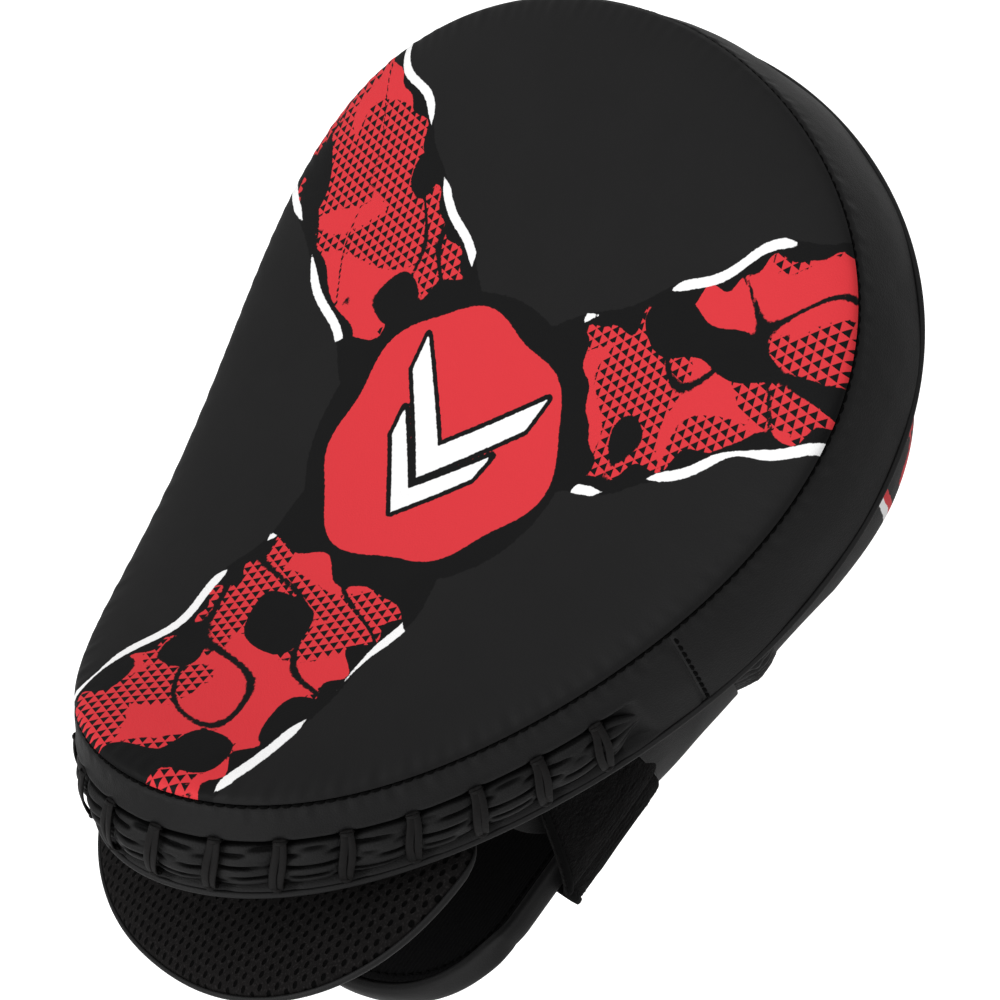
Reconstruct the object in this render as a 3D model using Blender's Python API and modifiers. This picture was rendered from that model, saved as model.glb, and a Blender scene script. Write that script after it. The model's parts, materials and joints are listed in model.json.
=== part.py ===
"""Curved boxing focus mitt, built as separate sewn and stacked pieces.

The frame is metres with +Z up out of the striking face.  -Y is the wrist end, +Y the finger end
and +X the right-hand side.  The origin is on the flat back of the hand compartment, under the middle
of the pad.  The pieces are drawn round the middle of the face seam and hang from an empty there.
Flat pattern positions are (x, s, h): x across, s along the curved face and h up from the seam plane.
"""
from math import acos, cos, pi, sin

import bmesh
import bpy
import numpy as np
from mathutils import Vector

COLLECTION = "focus_mitt"

# Striking pad: flat pattern outline and its bend along the length
ARC_LENGTH = 0.270
HALF_WIDTH = 0.1094
PEAR = 0.0309            # how much wider the finger end is
SHOULDER = 0.0054
TIP_TAPER = 0.0038
TILT = 0.0732            # slope of the face at the origin, in radians
BEND = 4.09              # curvature of the face at the origin, per metre
BEND_CHANGE = -25.1      # change of that curvature along the length, per square metre
BACK_SCALE = 0.986       # outline of the back against the outline of the face seam
BACK_INSET = 0.0042      # how far the back panel stands inside the face seam
INNER_INSET = 0.0062     # how far the foam layers stand inside the face seam
WAIST_FLARE = 0.0025     # extra fullness of the side wall beside the upright joins

# Layers of the pad, as heights from the seam plane
CROWN = 0.007
SKIN = 0.0014
GAP = 0.0004
GUSSET_TOP = -0.0018
GUSSET_BOTTOM = -0.0316
GUSSET_BULGE = 0.0012
GROOVE_DEPTH = 0.0024    # seat of the gathered strip in the side wall
GROOVE_HEIGHTS = (-0.0304, -0.0290, -0.0132, -0.0118)
FOAM_BOTTOM = -0.0060
GEL_BOTTOM = -0.0104
CORE_BOTTOM = -0.0198
BASE_BOTTOM = -0.0314
BACK_TOP = -0.0324
BACK_BOTTOM = -0.0338
PIPING_H = -0.0328
SEAM_S = -0.0141         # where the upright joins of the side wall stand
SEAM_LEAN = 0.036        # how far an upright join leans to the wrist, as an outline angle
PIPING_RADIUS = 0.0009

# Lacing round the wrist end
LACE_RADIUS = 0.0006
LACE_TOP = -0.0125
LACE_BOTTOM = -0.0296
LACE_BARS = 17
LACE_PITCH = 0.0170
LACE_SLANT = 0.0035      # how far the foot of a bar stands along the outline from its head
STRIP_TOP = -0.0136
STRIP_BOTTOM = -0.0288
STRIP_BULGE = 0.0010
STRIP_SKIN = 0.0012
STRIP_STAND = 0.0006      # gap between the gathered strip and the wall behind it

# Hand compartment under the pad
FLOOR_Z = -0.102
HOOD_WIDTH = 0.0835      # half width of the hood at its widest
HOOD_MOUTH_WIDTH = 0.0795
HOOD_CENTRE_Y = 0.035
HOOD_MOUTH_Y = 0.010
HOOD_END_Y = 0.116
HOOD_FULLNESS = 0.85     # power of the plan round the finger end; below 1 is squarer
HOOD_STEPS = 12
FLAT_SHARE = 0.58        # flat bottom of a section against its half width
WRIST_EDGE_Y = -0.038
HOOD_TAIL_SHARE = 0.93   # width of the flat bottom at the wrist against its width at the mouth
SIDE_WALL_Y = -0.005
WRIST_WIDTH = 0.0675
SIDE_WALL_WIDTH = 0.0735

# Wrist tongue, cuff and strap
TONGUE_Z = -0.0317       # middle of the tongue at its widest
TONGUE_RISE = 0.08       # rise of the tongue for each metre towards its tip
TONGUE_CUT_Y = -0.0845
TONGUE_WIDEST_Y = -0.098
TONGUE_TIP_Y = -0.1624
TONGUE_HALF_WIDTH = 0.0665
TONGUE_HALF_DEPTH = 0.0054
TONGUE_RIM = 0.0008
TONGUE_POWERS = (2.16, 5.0)   # roundness of the plan towards the tip and the sewn edge
TONGUE_STEPS = 36
CUFF_HINGE_Y = -0.0385
CUFF_TIP_Y = -0.1370
CUFF_CENTRE_Y = -0.0950
CUFF_Z = -0.0940
CUFF_AXIS = (0.0, CUFF_HINGE_Y, -0.0942)
CUFF_MIDDLE = 0.0035     # middle of the cuff's layers above its outer face
CUFF_LIFT = 0.012
CUFF_HALF_WIDTH = 0.0548
CUFF_POWERS = (1.8, 8.0)  # roundness of the plan towards the tip and the hinge
CUFF_SLIT = 0.0005       # gap between the cuff and its hinge line
TAB_BOTTOM = -0.0730
TAB_Y = (-0.080, -0.041)
STRAP_THICKNESS = 0.0022
STRAP_CENTRE_Z = -0.0957
STRAP_SIDE_X = 0.0614
STRAP_CORNER = 0.0165
STRAP_Y = (-0.081, -0.043)
STRAP_TIP_Y = -0.066     # wrist-side edge of the strap at its tip
STRAP_START_X = -0.040
STRAP_SEWN = 0.016       # length of strap sewn to the cuff
STRAP_FLAT = STRAP_SIDE_X - STRAP_CORNER - STRAP_START_X
STRAP_RISE = 0.034       # length of strap that stands up the side
STRAP_LENGTH = STRAP_FLAT + STRAP_CORNER * pi / 2 + STRAP_RISE

RING_STEPS = 44
RING_SHARES = (0.45, 0.8, 0.94, 1.0)


# ---------------------------------------------------------------- flat pattern and bend

def outline_point(angle):
    """Flat pattern position on the face seam.  Angle 0 is the wrist end, pi the finger end."""
    along = -cos(angle)
    width = HALF_WIDTH + PEAR * along + SHOULDER * cos(2 * angle) + TIP_TAPER * cos(3 * angle)
    return np.array([sin(angle) * width, ARC_LENGTH / 2 * along])


def outline_normal(angle):
    """Unit vector out of the outline, in the flat pattern."""
    step = 0.001
    run = outline_point(angle + step) - outline_point(angle - step)
    return np.array([run[1], -run[0]]) / np.hypot(*run)


SPINE_S = np.linspace(-0.17, 0.17, 681)
SPINE_SLOPE = TILT + BEND * SPINE_S + BEND_CHANGE * SPINE_S ** 2 / 2


def running_sum(values):
    """Integral of the values along the spine, zero at the origin."""
    steps = (values[1:] + values[:-1]) / 2 * (SPINE_S[1] - SPINE_S[0])
    total = np.concatenate([[0.0], np.cumsum(steps)])
    return total - np.interp(0.0, SPINE_S, total)


SPINE_Y = running_sum(np.cos(SPINE_SLOPE))
SPINE_Z = running_sum(np.sin(SPINE_SLOPE))


def bend(x, s, h):
    """World position of a flat pattern position."""
    slope = np.interp(s, SPINE_S, SPINE_SLOPE)
    y = np.interp(s, SPINE_S, SPINE_Y) - h * sin(slope)
    z = np.interp(s, SPINE_S, SPINE_Z) + h * cos(slope)
    return (x, y, z)


def back_height(y):
    """Height of the underside of the pad at a world y, one gap clear of it."""
    h = BACK_BOTTOM - GAP
    return np.interp(y, SPINE_Y - h * np.sin(SPINE_SLOPE), SPINE_Z + h * np.cos(SPINE_SLOPE))


def groove(angle, h):
    """How far the side wall is drawn in behind the gathered strip."""
    across = np.interp(abs(angle), (STRIP_END_ANGLE, STRIP_END_ANGLE + 0.08), (1.0, 0.0))
    return GROOVE_DEPTH * across * np.interp(h, GROOVE_HEIGHTS, (0.0, 1.0, 1.0, 0.0))


def rim_outline(angle, scale):
    """Flat pattern outline below the seam, with its fullness beside the upright joins."""
    turn = abs((angle + pi) % (2 * pi) - pi)
    flare = WAIST_FLARE * np.exp(-((turn - SEAM_ANGLE) / 0.5) ** 2) * (1 - scale) / (1 - BACK_SCALE)
    return outline_point(angle) * scale + outline_normal(angle) * flare


def pad_edge(angle, h, outward=0.0):
    """World position on the side wall at a height, a distance out of its surface."""
    depth = h / GUSSET_BOTTOM
    scale = 1 - (1 - BACK_SCALE) * depth
    bulge = GUSSET_BULGE * sin(pi * min(max(depth, 0.0), 1.0)) - groove(angle, h)
    x, s = rim_outline(angle, scale) + outline_normal(angle) * (bulge + outward)
    return bend(x, s, h)


def angle_at(distance):
    """Outline angle at a distance along the outline from the wrist end, positive towards +X."""
    angles = np.linspace(-pi, pi, 721)
    points = np.array([outline_point(angle) for angle in angles])
    lengths = np.hypot(*np.diff(points, axis=0).T)
    total = np.concatenate([[0.0], np.cumsum(lengths)])
    return np.interp(distance, total - total[360], angles)


SEAM_ANGLE = acos(-2 * SEAM_S / ARC_LENGTH)
STRIP_END_ANGLE = angle_at(LACE_PITCH * (LACE_BARS // 2) + 0.010)


# ---------------------------------------------------------------- mesh helpers

def clear_scene():
    for item in list(bpy.data.objects):
        bpy.data.objects.remove(item, do_unlink=True)
    for group in list(bpy.data.collections):
        bpy.data.collections.remove(group)


def material(name, colour, roughness, metallic=0.0):
    """Principled material, made once for each name."""
    made = bpy.data.materials.get(name)
    if made is None:
        made = bpy.data.materials.new(name)
        made.use_nodes = True
        shader = made.node_tree.nodes["Principled BSDF"]
        shader.inputs["Base Color"].default_value = (*colour, 1.0)
        shader.inputs["Roughness"].default_value = roughness
        shader.inputs["Metallic"].default_value = metallic
    return made


def add_object(name, data, look):
    """Put new data in the mitt's collection under a node name."""
    item = bpy.data.objects.new(name, data)
    bpy.data.collections[COLLECTION].objects.link(item)
    item.data.materials.append(look)
    return item


def mesh_object(name, look, shape):
    """Object made of a finished bmesh, with its faces turned outwards."""
    bmesh.ops.recalc_face_normals(shape, faces=shape.faces)
    data = bpy.data.meshes.new(name)
    shape.to_mesh(data)
    shape.free()
    data.shade_smooth()
    data.set_sharp_from_angle(angle=0.6)
    return add_object(name, data, look)


def add_strip(shape, first, second, closed):
    """Triangles between two rows of vertices, every cut running the same way."""
    count = len(first)
    for i in range(count if closed else count - 1):
        j = (i + 1) % count
        shape.faces.new((first[i], first[j], second[j]))
        shape.faces.new((first[i], second[j], second[i]))


def add_rows(shape, rows):
    return [[shape.verts.new(point) for point in row] for row in rows]


def ring_shape(sheets, steps, shares):
    """Mesh of one sheet, or of two sheets joined at their rims.

    Each sheet maps (share of the outline, angle) to a point.
    """
    shape = bmesh.new()
    angles = [2 * pi * i / steps for i in range(steps)]
    rims = []
    for sheet in sheets:
        rows = add_rows(shape, [[sheet(share, angle) for angle in angles] for share in shares])
        middle = shape.verts.new(sheet(0.0, 0.0))
        for i in range(steps):
            shape.faces.new((middle, rows[0][i], rows[0][(i + 1) % steps]))
        for inner, outer in zip(rows, rows[1:]):
            add_strip(shape, inner, outer, closed=True)
        rims.append(rows[-1])
    if len(rims) == 2:
        add_strip(shape, rims[0], rims[1], closed=True)
    bmesh.ops.recalc_face_normals(shape, faces=shape.faces)
    return shape


def ring_solid(name, look, top, bottom, steps=RING_STEPS, shares=RING_SHARES):
    """Closed solid between two sheets."""
    return mesh_object(name, look, ring_shape((top, bottom), steps, shares))


def face_downwards(shape):
    """Turn an open surface so that its lowest face looks down."""
    lowest = min(shape.faces, key=lambda face: face.calc_center_median().z)
    if lowest.normal.z > 0:
        bmesh.ops.reverse_faces(shape, faces=shape.faces)


def shell_object(name, look, shape, thickness):
    """Closed shell from an open surface whose normals already point out."""
    data = bpy.data.meshes.new(name)
    shape.to_mesh(data)
    shape.free()
    data.shade_smooth()
    return thicken(add_object(name, data, look), thickness)


def sheet_solid(name, look, rows, thickness, outward):
    """Closed shell: an open grid of points thickened away from the outward direction."""
    shape = bmesh.new()
    made = add_rows(shape, rows)
    for first, second in zip(made, made[1:]):
        add_strip(shape, first, second, closed=False)
    shape.normal_update()
    middle_face = list(shape.faces)[len(shape.faces) // 2]
    if middle_face.normal.dot(outward(middle_face.calc_center_median())) < 0:
        bmesh.ops.reverse_faces(shape, faces=shape.faces)
    return shell_object(name, look, shape, thickness)


def thicken(item, thickness):
    solid = item.modifiers.new("Thickness", "SOLIDIFY")
    solid.thickness = thickness
    solid.offset = -1.0
    solid.use_even_offset = True
    return item


def cord(name, look, points, radius, closed=False):
    """Round cord through points, as a poly curve with filled caps."""
    data = bpy.data.curves.new(name, "CURVE")
    data.dimensions = "3D"
    data.bevel_depth = radius
    data.bevel_resolution = 2
    data.use_fill_caps = True
    spline = data.splines.new("POLY")
    spline.points.add(len(points) - 1)
    for knot, point in zip(spline.points, points):
        knot.co = (*point, 1.0)
    spline.use_cyclic_u = closed
    return add_object(name, data, look)


def set_origin(item, place):
    """Move an object's origin to a point without moving its shape."""
    offset = np.array(place)
    if item.type == "CURVE":
        for knot in item.data.splines[0].points:
            knot.co = (*(np.array(knot.co[:3]) - offset), 1.0)
    else:
        for vertex in item.data.vertices:
            vertex.co = np.array(vertex.co) - offset
    item.location = place


# ---------------------------------------------------------------- materials

def leather():
    return material("black_leather", (0.016, 0.016, 0.017), 0.48)


def printed_leather():
    return material("printed_leather", (0.018, 0.018, 0.019), 0.42)


def gathered_leather():
    return material("gathered_leather", (0.022, 0.022, 0.023), 0.50)


def mesh_fabric():
    return material("mesh_fabric", (0.030, 0.030, 0.032), 0.85)


def lining_fabric():
    return material("lining_fabric", (0.012, 0.012, 0.013), 0.90)


def loop_fabric():
    return material("loop_fabric", (0.020, 0.018, 0.019), 0.95)


def lace_cord():
    return material("lace_cord", (0.025, 0.024, 0.024), 0.55)


def foam():
    return material("foam", (0.35, 0.35, 0.36), 0.90)


def gel():
    return material("gel", (0.45, 0.06, 0.05), 0.30)


# ---------------------------------------------------------------- striking pad

def crown(share):
    """Rise of the faceted face cover at a share of the outline."""
    knots = (0.0,) + RING_SHARES
    return np.interp(share, knots, [CROWN * (1 - knot ** 6) ** 0.5 for knot in knots])


def pad_sheet(inset, height):
    """Sheet of a pad layer whose height depends on the share of the outline."""
    def point(share, angle):
        x, s = (outline_point(angle) - outline_normal(angle) * inset) * share
        return bend(x, s, height(share))
    return point


def flat_layer(name, look, inset, top, bottom):
    ring_solid(name, look, pad_sheet(inset, lambda share: top), pad_sheet(inset, lambda share: bottom))


def build_pad_layers():
    ring_solid("face_cover", printed_leather(),
               pad_sheet(0.0, crown),
               pad_sheet(0.0, lambda share: crown(share) - SKIN))
    ring_solid("face_foam", foam(),
               pad_sheet(INNER_INSET, lambda share: crown(share * 0.94) - SKIN - 3 * GAP),
               pad_sheet(INNER_INSET, lambda share: FOAM_BOTTOM))
    flat_layer("gel_sheet", gel(), INNER_INSET, FOAM_BOTTOM - GAP, GEL_BOTTOM)
    flat_layer("core_foam", foam(), INNER_INSET, GEL_BOTTOM - GAP, CORE_BOTTOM)
    flat_layer("base_foam", foam(), INNER_INSET, CORE_BOTTOM - GAP, BASE_BOTTOM)
    flat_layer("back_panel", leather(), BACK_INSET, BACK_TOP, BACK_BOTTOM)


def away_from_axis(place):
    """Direction out from the upright line through the pad's middle."""
    return Vector((place.x, place.y, 0.0))


def side_strip(name, look, angles, heights, thickness, outward):
    """Band of the side wall: angles(h) along it, its outer face outward(share) off the wall."""
    shares = np.linspace(0.0, 1.0, len(heights))
    rows = [[pad_edge(angle, h, outward(share)) for angle in angles(h)]
            for h, share in zip(heights, shares)]
    sheet_solid(name, look, rows, thickness, away_from_axis)


def build_side_wall():
    slit = 0.0025
    steps = 33
    wall = 0.0015
    heights = sorted([GUSSET_TOP, -0.0070, -0.0210, GUSSET_BOTTOM, *GROOVE_HEIGHTS], reverse=True)

    def seam(h):
        return SEAM_ANGLE - SEAM_LEAN * h / GUSSET_BOTTOM

    def narrow(h):
        return np.linspace(-seam(h) + slit, seam(h) - slit, steps)

    def wide(h):
        return np.linspace(seam(h) + slit, 2 * pi - seam(h) - slit, steps)

    side_strip("gusset_narrow", leather(), narrow, heights, wall, lambda share: 0.0)
    side_strip("gusset_wide", leather(), wide, [h for h in heights if h not in GROOVE_HEIGHTS],
               wall, lambda share: 0.0)
    strip_angles = np.linspace(-STRIP_END_ANGLE, STRIP_END_ANGLE, steps)
    side_strip("lacing_strip", gathered_leather(), lambda h: strip_angles,
               np.linspace(STRIP_TOP, STRIP_BOTTOM, 5), STRIP_SKIN,
               lambda share: STRIP_STAND + STRIP_SKIN + STRIP_BULGE * sin(pi * share))


def build_rim_piping():
    steps = 88
    inward = 0.8 * PIPING_RADIUS
    points = []
    for i in range(steps):
        angle = 2 * pi * i / steps
        x, s = rim_outline(angle, BACK_SCALE) - outline_normal(angle) * inward
        points.append(bend(x, s, PIPING_H))
    cord("rim_piping", leather(), points, PIPING_RADIUS, closed=True)


def build_wrist_lace():
    """One flat run of cord that zigzags over the gathered strip."""
    low = 2 * LACE_RADIUS
    high = STRIP_STAND + STRIP_SKIN + STRIP_BULGE + GAP + LACE_RADIUS
    turn = 0.0005
    points = []
    for bar in range(LACE_BARS):
        distance = (bar - LACE_BARS // 2) * LACE_PITCH
        head = angle_at(distance)
        foot = angle_at(distance - LACE_SLANT)
        ends = [(head, LACE_TOP, low), (head, LACE_TOP - turn, high),
                (foot, LACE_BOTTOM + turn, high), (foot, LACE_BOTTOM, low)]
        if bar % 2:
            ends.reverse()
        points += [pad_edge(*end) for end in ends]
        if bar < LACE_BARS - 1:
            halfway = angle_at(distance + LACE_PITCH / 2)
            points.append(pad_edge(halfway, ends[-1][1], low))
    cord("wrist_lace", lace_cord(), points, LACE_RADIUS)


# ---------------------------------------------------------------- hand compartment

def corner_rows(steps):
    """Shares of half width and of depth down the rounded side of a section."""
    turns = np.linspace(0.0, pi / 2, steps)
    return [(FLAT_SHARE + (1 - FLAT_SHARE) * cos(turn), sin(turn)) for turn in turns]


def hood_plan(inset):
    """Half of the hood's plan, from its mouth at +X round the finger end to its mouth at -X."""
    width = HOOD_WIDTH - inset
    reach = HOOD_END_Y - HOOD_CENTRE_Y - inset
    plan = [(HOOD_MOUTH_WIDTH - inset, HOOD_MOUTH_Y)]
    for i in range(HOOD_STEPS + 1):
        turn = pi * i / HOOD_STEPS
        across = np.sign(cos(turn)) * abs(cos(turn)) ** HOOD_FULLNESS
        plan.append((across * width, HOOD_CENTRE_Y + sin(turn) ** HOOD_FULLNESS * reach))
    plan.append((-(HOOD_MOUTH_WIDTH - inset), HOOD_MOUTH_Y))
    return plan


def hood_rows(inset):
    """Rows of points down the hood from the pad to the flat bottom."""
    rows = []
    floor = FLOOR_Z + inset
    for width_share, depth_share in corner_rows(6):
        row = []
        for x, y in hood_plan(inset):
            pulled_y = y if y <= HOOD_CENTRE_Y else HOOD_CENTRE_Y + (y - HOOD_CENTRE_Y) * width_share
            top = back_height(pulled_y)
            row.append((x * width_share, pulled_y, top + (floor - top) * depth_share))
        rows.append(row)
    return rows


def add_hood_surface(shape, inset):
    """Add the hood's wall and flat bottom to a mesh, and return its edge loop of vertices."""
    rows = hood_rows(inset)
    made = add_rows(shape, rows)
    for first, second in zip(made, made[1:]):
        add_strip(shape, first, second, closed=False)
    tail = []
    for x, _, z in (rows[-1][-1], rows[-1][0]):
        tail.append(shape.verts.new((x * HOOD_TAIL_SHARE, WRIST_EDGE_Y, z)))
    shape.faces.new(made[-1] + tail)
    left_side = [row[-1] for row in made[1:]]
    right_side = [row[0] for row in made[:0:-1]]
    return made[0] + left_side + tail + right_side


def hood_layer(name, look, inset, thickness):
    """Shell of the hood with a flat bottom that runs on to the wrist edge."""
    shape = bmesh.new()
    outer_edge = add_hood_surface(shape, inset)
    inner_edge = add_hood_surface(shape, inset + thickness)
    add_strip(shape, outer_edge, inner_edge, closed=True)
    mesh_object(name, look, shape)


def side_band(name, look, side, stations, thickness):
    """Side wall of the compartment: stations are (y, half width) from the wrist to the fingers."""
    rows = []
    for width_share, depth_share in corner_rows(7)[:-1]:
        row = []
        for y, width in stations:
            top = back_height(y)
            row.append((side * width * width_share, y, top + (FLOOR_Z - top) * depth_share))
        rows.append(row)
    sheet_solid(name, look, rows, thickness, lambda place: Vector((place.x, 0.0, 0.0)))


def build_hand_compartment():
    padding = 0.0060
    lining = 0.0010
    layer_gap = 0.0006
    hood_layer("hood_shell", printed_leather(), 0.0, SKIN)
    hood_layer("hood_padding", foam(), SKIN + layer_gap, padding)
    hood_layer("hood_lining", lining_fabric(), SKIN + padding + 2 * layer_gap, lining)
    slit = 0.0005
    wall = 0.0016
    middle_of_wall = (-0.0215, 0.0707)
    middle_of_elastic = (0.0025, 0.0775)
    for side, word in ((1, "right"), (-1, "left")):
        side_band("side_wall_" + word, leather(), side,
                  [(WRIST_EDGE_Y, WRIST_WIDTH), middle_of_wall, (SIDE_WALL_Y, SIDE_WALL_WIDTH)], wall)
        side_band("elastic_" + word, gathered_leather(), side,
                  [(SIDE_WALL_Y + slit, SIDE_WALL_WIDTH), middle_of_elastic,
                   (HOOD_MOUTH_Y - slit, HOOD_MOUTH_WIDTH)], wall)


def build_palm_ball():
    """Padded dome under the palm: a sewn cover over a foam core."""
    centre_y = 0.010
    radius = 0.031
    height = 0.021
    core_inset = 0.0032
    core_clear = 0.0010
    cover = 0.0012
    steps = 20

    def dome(inset, share, angle):
        x = cos(angle) * share * (radius - inset)
        y = centre_y + sin(angle) * share * (radius - inset)
        rise = (height - inset) * (1 - share ** 3) ** 0.5
        return x, y, rise

    def outer(share, angle):
        x, y, rise = dome(0.0, share, angle)
        return (x, y, back_height(y) - rise)

    def foam_top(share, angle):
        x, y, rise = dome(core_inset, share, angle)
        return (x, y, back_height(y) - core_clear - rise)

    def foam_base(share, angle):
        x, y, _ = dome(core_inset, share, angle)
        return (x, y, back_height(y) - GAP)

    shape = ring_shape((outer,), steps, RING_SHARES)
    face_downwards(shape)
    shell_object("palm_ball_cover", leather(), shape, cover)
    ring_solid("palm_ball_foam", foam(), foam_top, foam_base, steps)


# ---------------------------------------------------------------- tongue

def lobe(angle, half_width, front, back, centre_y, powers):
    """Plan of a rounded flap: blunt towards -Y, squarer towards its sewn edge at +Y."""
    across, along = cos(angle), sin(angle)
    reach, power = (back, powers[1]) if along > 0 else (front, powers[0])
    x = np.sign(across) * abs(across) ** (2 / power) * half_width
    y = centre_y + np.sign(along) * abs(along) ** (2 / power) * reach
    return x, y


def tongue_height(y):
    return TONGUE_Z - TONGUE_RISE * (y - TONGUE_WIDEST_Y)


def tongue_face(inset, side, back):
    """Upper (side 1) or lower (side -1) face of the padded tongue."""
    def point(share, angle):
        front = TONGUE_WIDEST_Y - TONGUE_TIP_Y - inset
        x, y = lobe(angle, TONGUE_HALF_WIDTH - inset, front, back, TONGUE_WIDEST_Y, TONGUE_POWERS)
        y = TONGUE_WIDEST_Y + (y - TONGUE_WIDEST_Y) * share
        half = (TONGUE_HALF_DEPTH - inset) * (1 - share ** 5) ** 0.5 + TONGUE_RIM
        return (x * share, y, tongue_height(y) + side * half)
    return point


def build_tongue():
    """Mesh-covered cushion under the wrist: a cover open at its sewn edge over a foam core."""
    back = 0.018
    place = (0.0, TONGUE_CUT_Y, tongue_height(TONGUE_CUT_Y))
    shape = ring_shape((tongue_face(0.0, 1, back), tongue_face(0.0, -1, back)), TONGUE_STEPS,
                       RING_SHARES)
    everything = list(shape.verts) + list(shape.edges) + list(shape.faces)
    bmesh.ops.bisect_plane(shape, geom=everything, plane_co=(0, TONGUE_CUT_Y, 0), plane_no=(0, 1, 0),
                           clear_outer=True, dist=0.00001)
    cover = 0.0010
    set_origin(shell_object("tongue_cover", mesh_fabric(), shape, cover), place)

    inset = 0.0020
    core_back = 0.0115
    core = ring_solid("tongue_foam", foam(), tongue_face(inset, 1, core_back),
                      tongue_face(inset, -1, core_back), TONGUE_STEPS)
    set_origin(core, place)

    radius = 0.0010
    clear = radius + 0.0005
    points = []
    for angle in np.linspace(pi, 2 * pi, 31):
        x, y = lobe(angle, TONGUE_HALF_WIDTH + clear, TONGUE_WIDEST_Y - TONGUE_TIP_Y + clear, back,
                    TONGUE_WIDEST_Y, TONGUE_POWERS)
        points.append((x, y, tongue_height(y)))
    set_origin(cord("tongue_piping", leather(), points, radius), place)


def build_wrist_pad():
    """Sewn-down part of the wrist cushion, between the tongue and the palm ball."""
    middle_y = -0.0530
    half_length = 0.0290
    half_width = 0.0530
    depth = 0.0080
    rim = 0.0005
    squareness = (4.0, 4.0)

    def plan(share, angle):
        x, y = lobe(angle, half_width, half_length, half_length, middle_y, squareness)
        return x * share, middle_y + (y - middle_y) * share

    def top(share, angle):
        x, y = plan(share, angle)
        return (x, y, back_height(y) - GAP)

    def bottom(share, angle):
        x, y = plan(share, angle)
        return (x, y, back_height(y) - 2 * GAP - depth * (1 - share ** 5) ** 0.5 - rim)

    ring_solid("wrist_pad", mesh_fabric(), top, bottom, steps=28)


# ---------------------------------------------------------------- cuff

def cuff_edge(angle, outward):
    front = CUFF_CENTRE_Y - CUFF_TIP_Y + outward
    back = CUFF_HINGE_Y - CUFF_SLIT - CUFF_CENTRE_Y
    return lobe(angle, CUFF_HALF_WIDTH + outward, front, back, CUFF_CENTRE_Y, CUFF_POWERS)


def cuff_height(x, depth):
    """Height of a cuff layer: flat in the middle, its wings lifting round the wrist."""
    return CUFF_Z + depth + CUFF_LIFT * abs(x / CUFF_HALF_WIDTH) ** 3


def cuff_sheet(depth):
    def point(share, angle):
        x, y = cuff_edge(angle, 0.0)
        x, y = x * share, CUFF_CENTRE_Y + (y - CUFF_CENTRE_Y) * share
        return (x, y, cuff_height(x, depth))
    return point


def build_cuff():
    """Sandwich flap behind the wrist, and the binding round its free edge."""
    steps = 32
    layers = (("cuff_shell", leather(), 0.0, 0.0013), ("cuff_foam", foam(), 0.0018, 0.0056),
              ("cuff_lining", lining_fabric(), 0.0061, 0.0071))
    for name, look, low, high in layers:
        layer = ring_solid(name, look, cuff_sheet(high), cuff_sheet(low), steps)
        set_origin(layer, CUFF_AXIS)
    radius = 0.0022
    clear = radius + 0.0006
    binding_end_y = CUFF_HINGE_Y - 0.004
    points = []
    for angle in np.linspace(pi, 2 * pi, steps + 1):
        x, y = cuff_edge(angle, clear)
        points.append((x, y, cuff_height(min(abs(x), CUFF_HALF_WIDTH), CUFF_MIDDLE)))
    points.insert(0, (points[0][0], binding_end_y, points[0][2]))
    points.append((points[-1][0], binding_end_y, points[-1][2]))
    set_origin(cord("cuff_binding", leather(), points, radius), CUFF_AXIS)


# ---------------------------------------------------------------- strap

def strap_point(distance):
    """Place (x, z) and turn of the strap's middle at a distance from its sewn end."""
    turn = (distance - STRAP_FLAT) / STRAP_CORNER
    if turn <= 0:
        return STRAP_START_X + distance, STRAP_CENTRE_Z, 0.0
    if turn < pi / 2:
        x = STRAP_SIDE_X - STRAP_CORNER + STRAP_CORNER * sin(turn)
        return x, STRAP_CENTRE_Z + STRAP_CORNER * (1 - cos(turn)), turn
    rise = distance - STRAP_FLAT - STRAP_CORNER * pi / 2
    return STRAP_SIDE_X, STRAP_CENTRE_Z + STRAP_CORNER + rise, pi / 2


def strap_piece(name, look, distances, thickness, y_range, origin):
    """Length of webbing centred on the strap's path, with a station at each distance."""
    rows = []
    for distance in distances:
        x, z, turn = strap_point(distance)
        taper = np.interp(distance, (STRAP_FLAT + STRAP_CORNER * pi / 2, STRAP_LENGTH), (0.0, 1.0))
        low = y_range[0] + (STRAP_TIP_Y - STRAP_Y[0]) * taper
        rows.append([(x + sin(turn) * thickness / 2, y, z - cos(turn) * thickness / 2)
                     for y in (low, y_range[1])])
    set_origin(sheet_solid(name, look, rows, thickness, strap_outward), origin)


def strap_outward(place):
    """Out of the loop that the strap makes round the wrist."""
    if place.z > STRAP_CENTRE_Z + STRAP_CORNER / 2:
        return Vector((1.0, 0.0, 0.0))
    return Vector((0.0, 0.0, -1.0))


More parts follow.
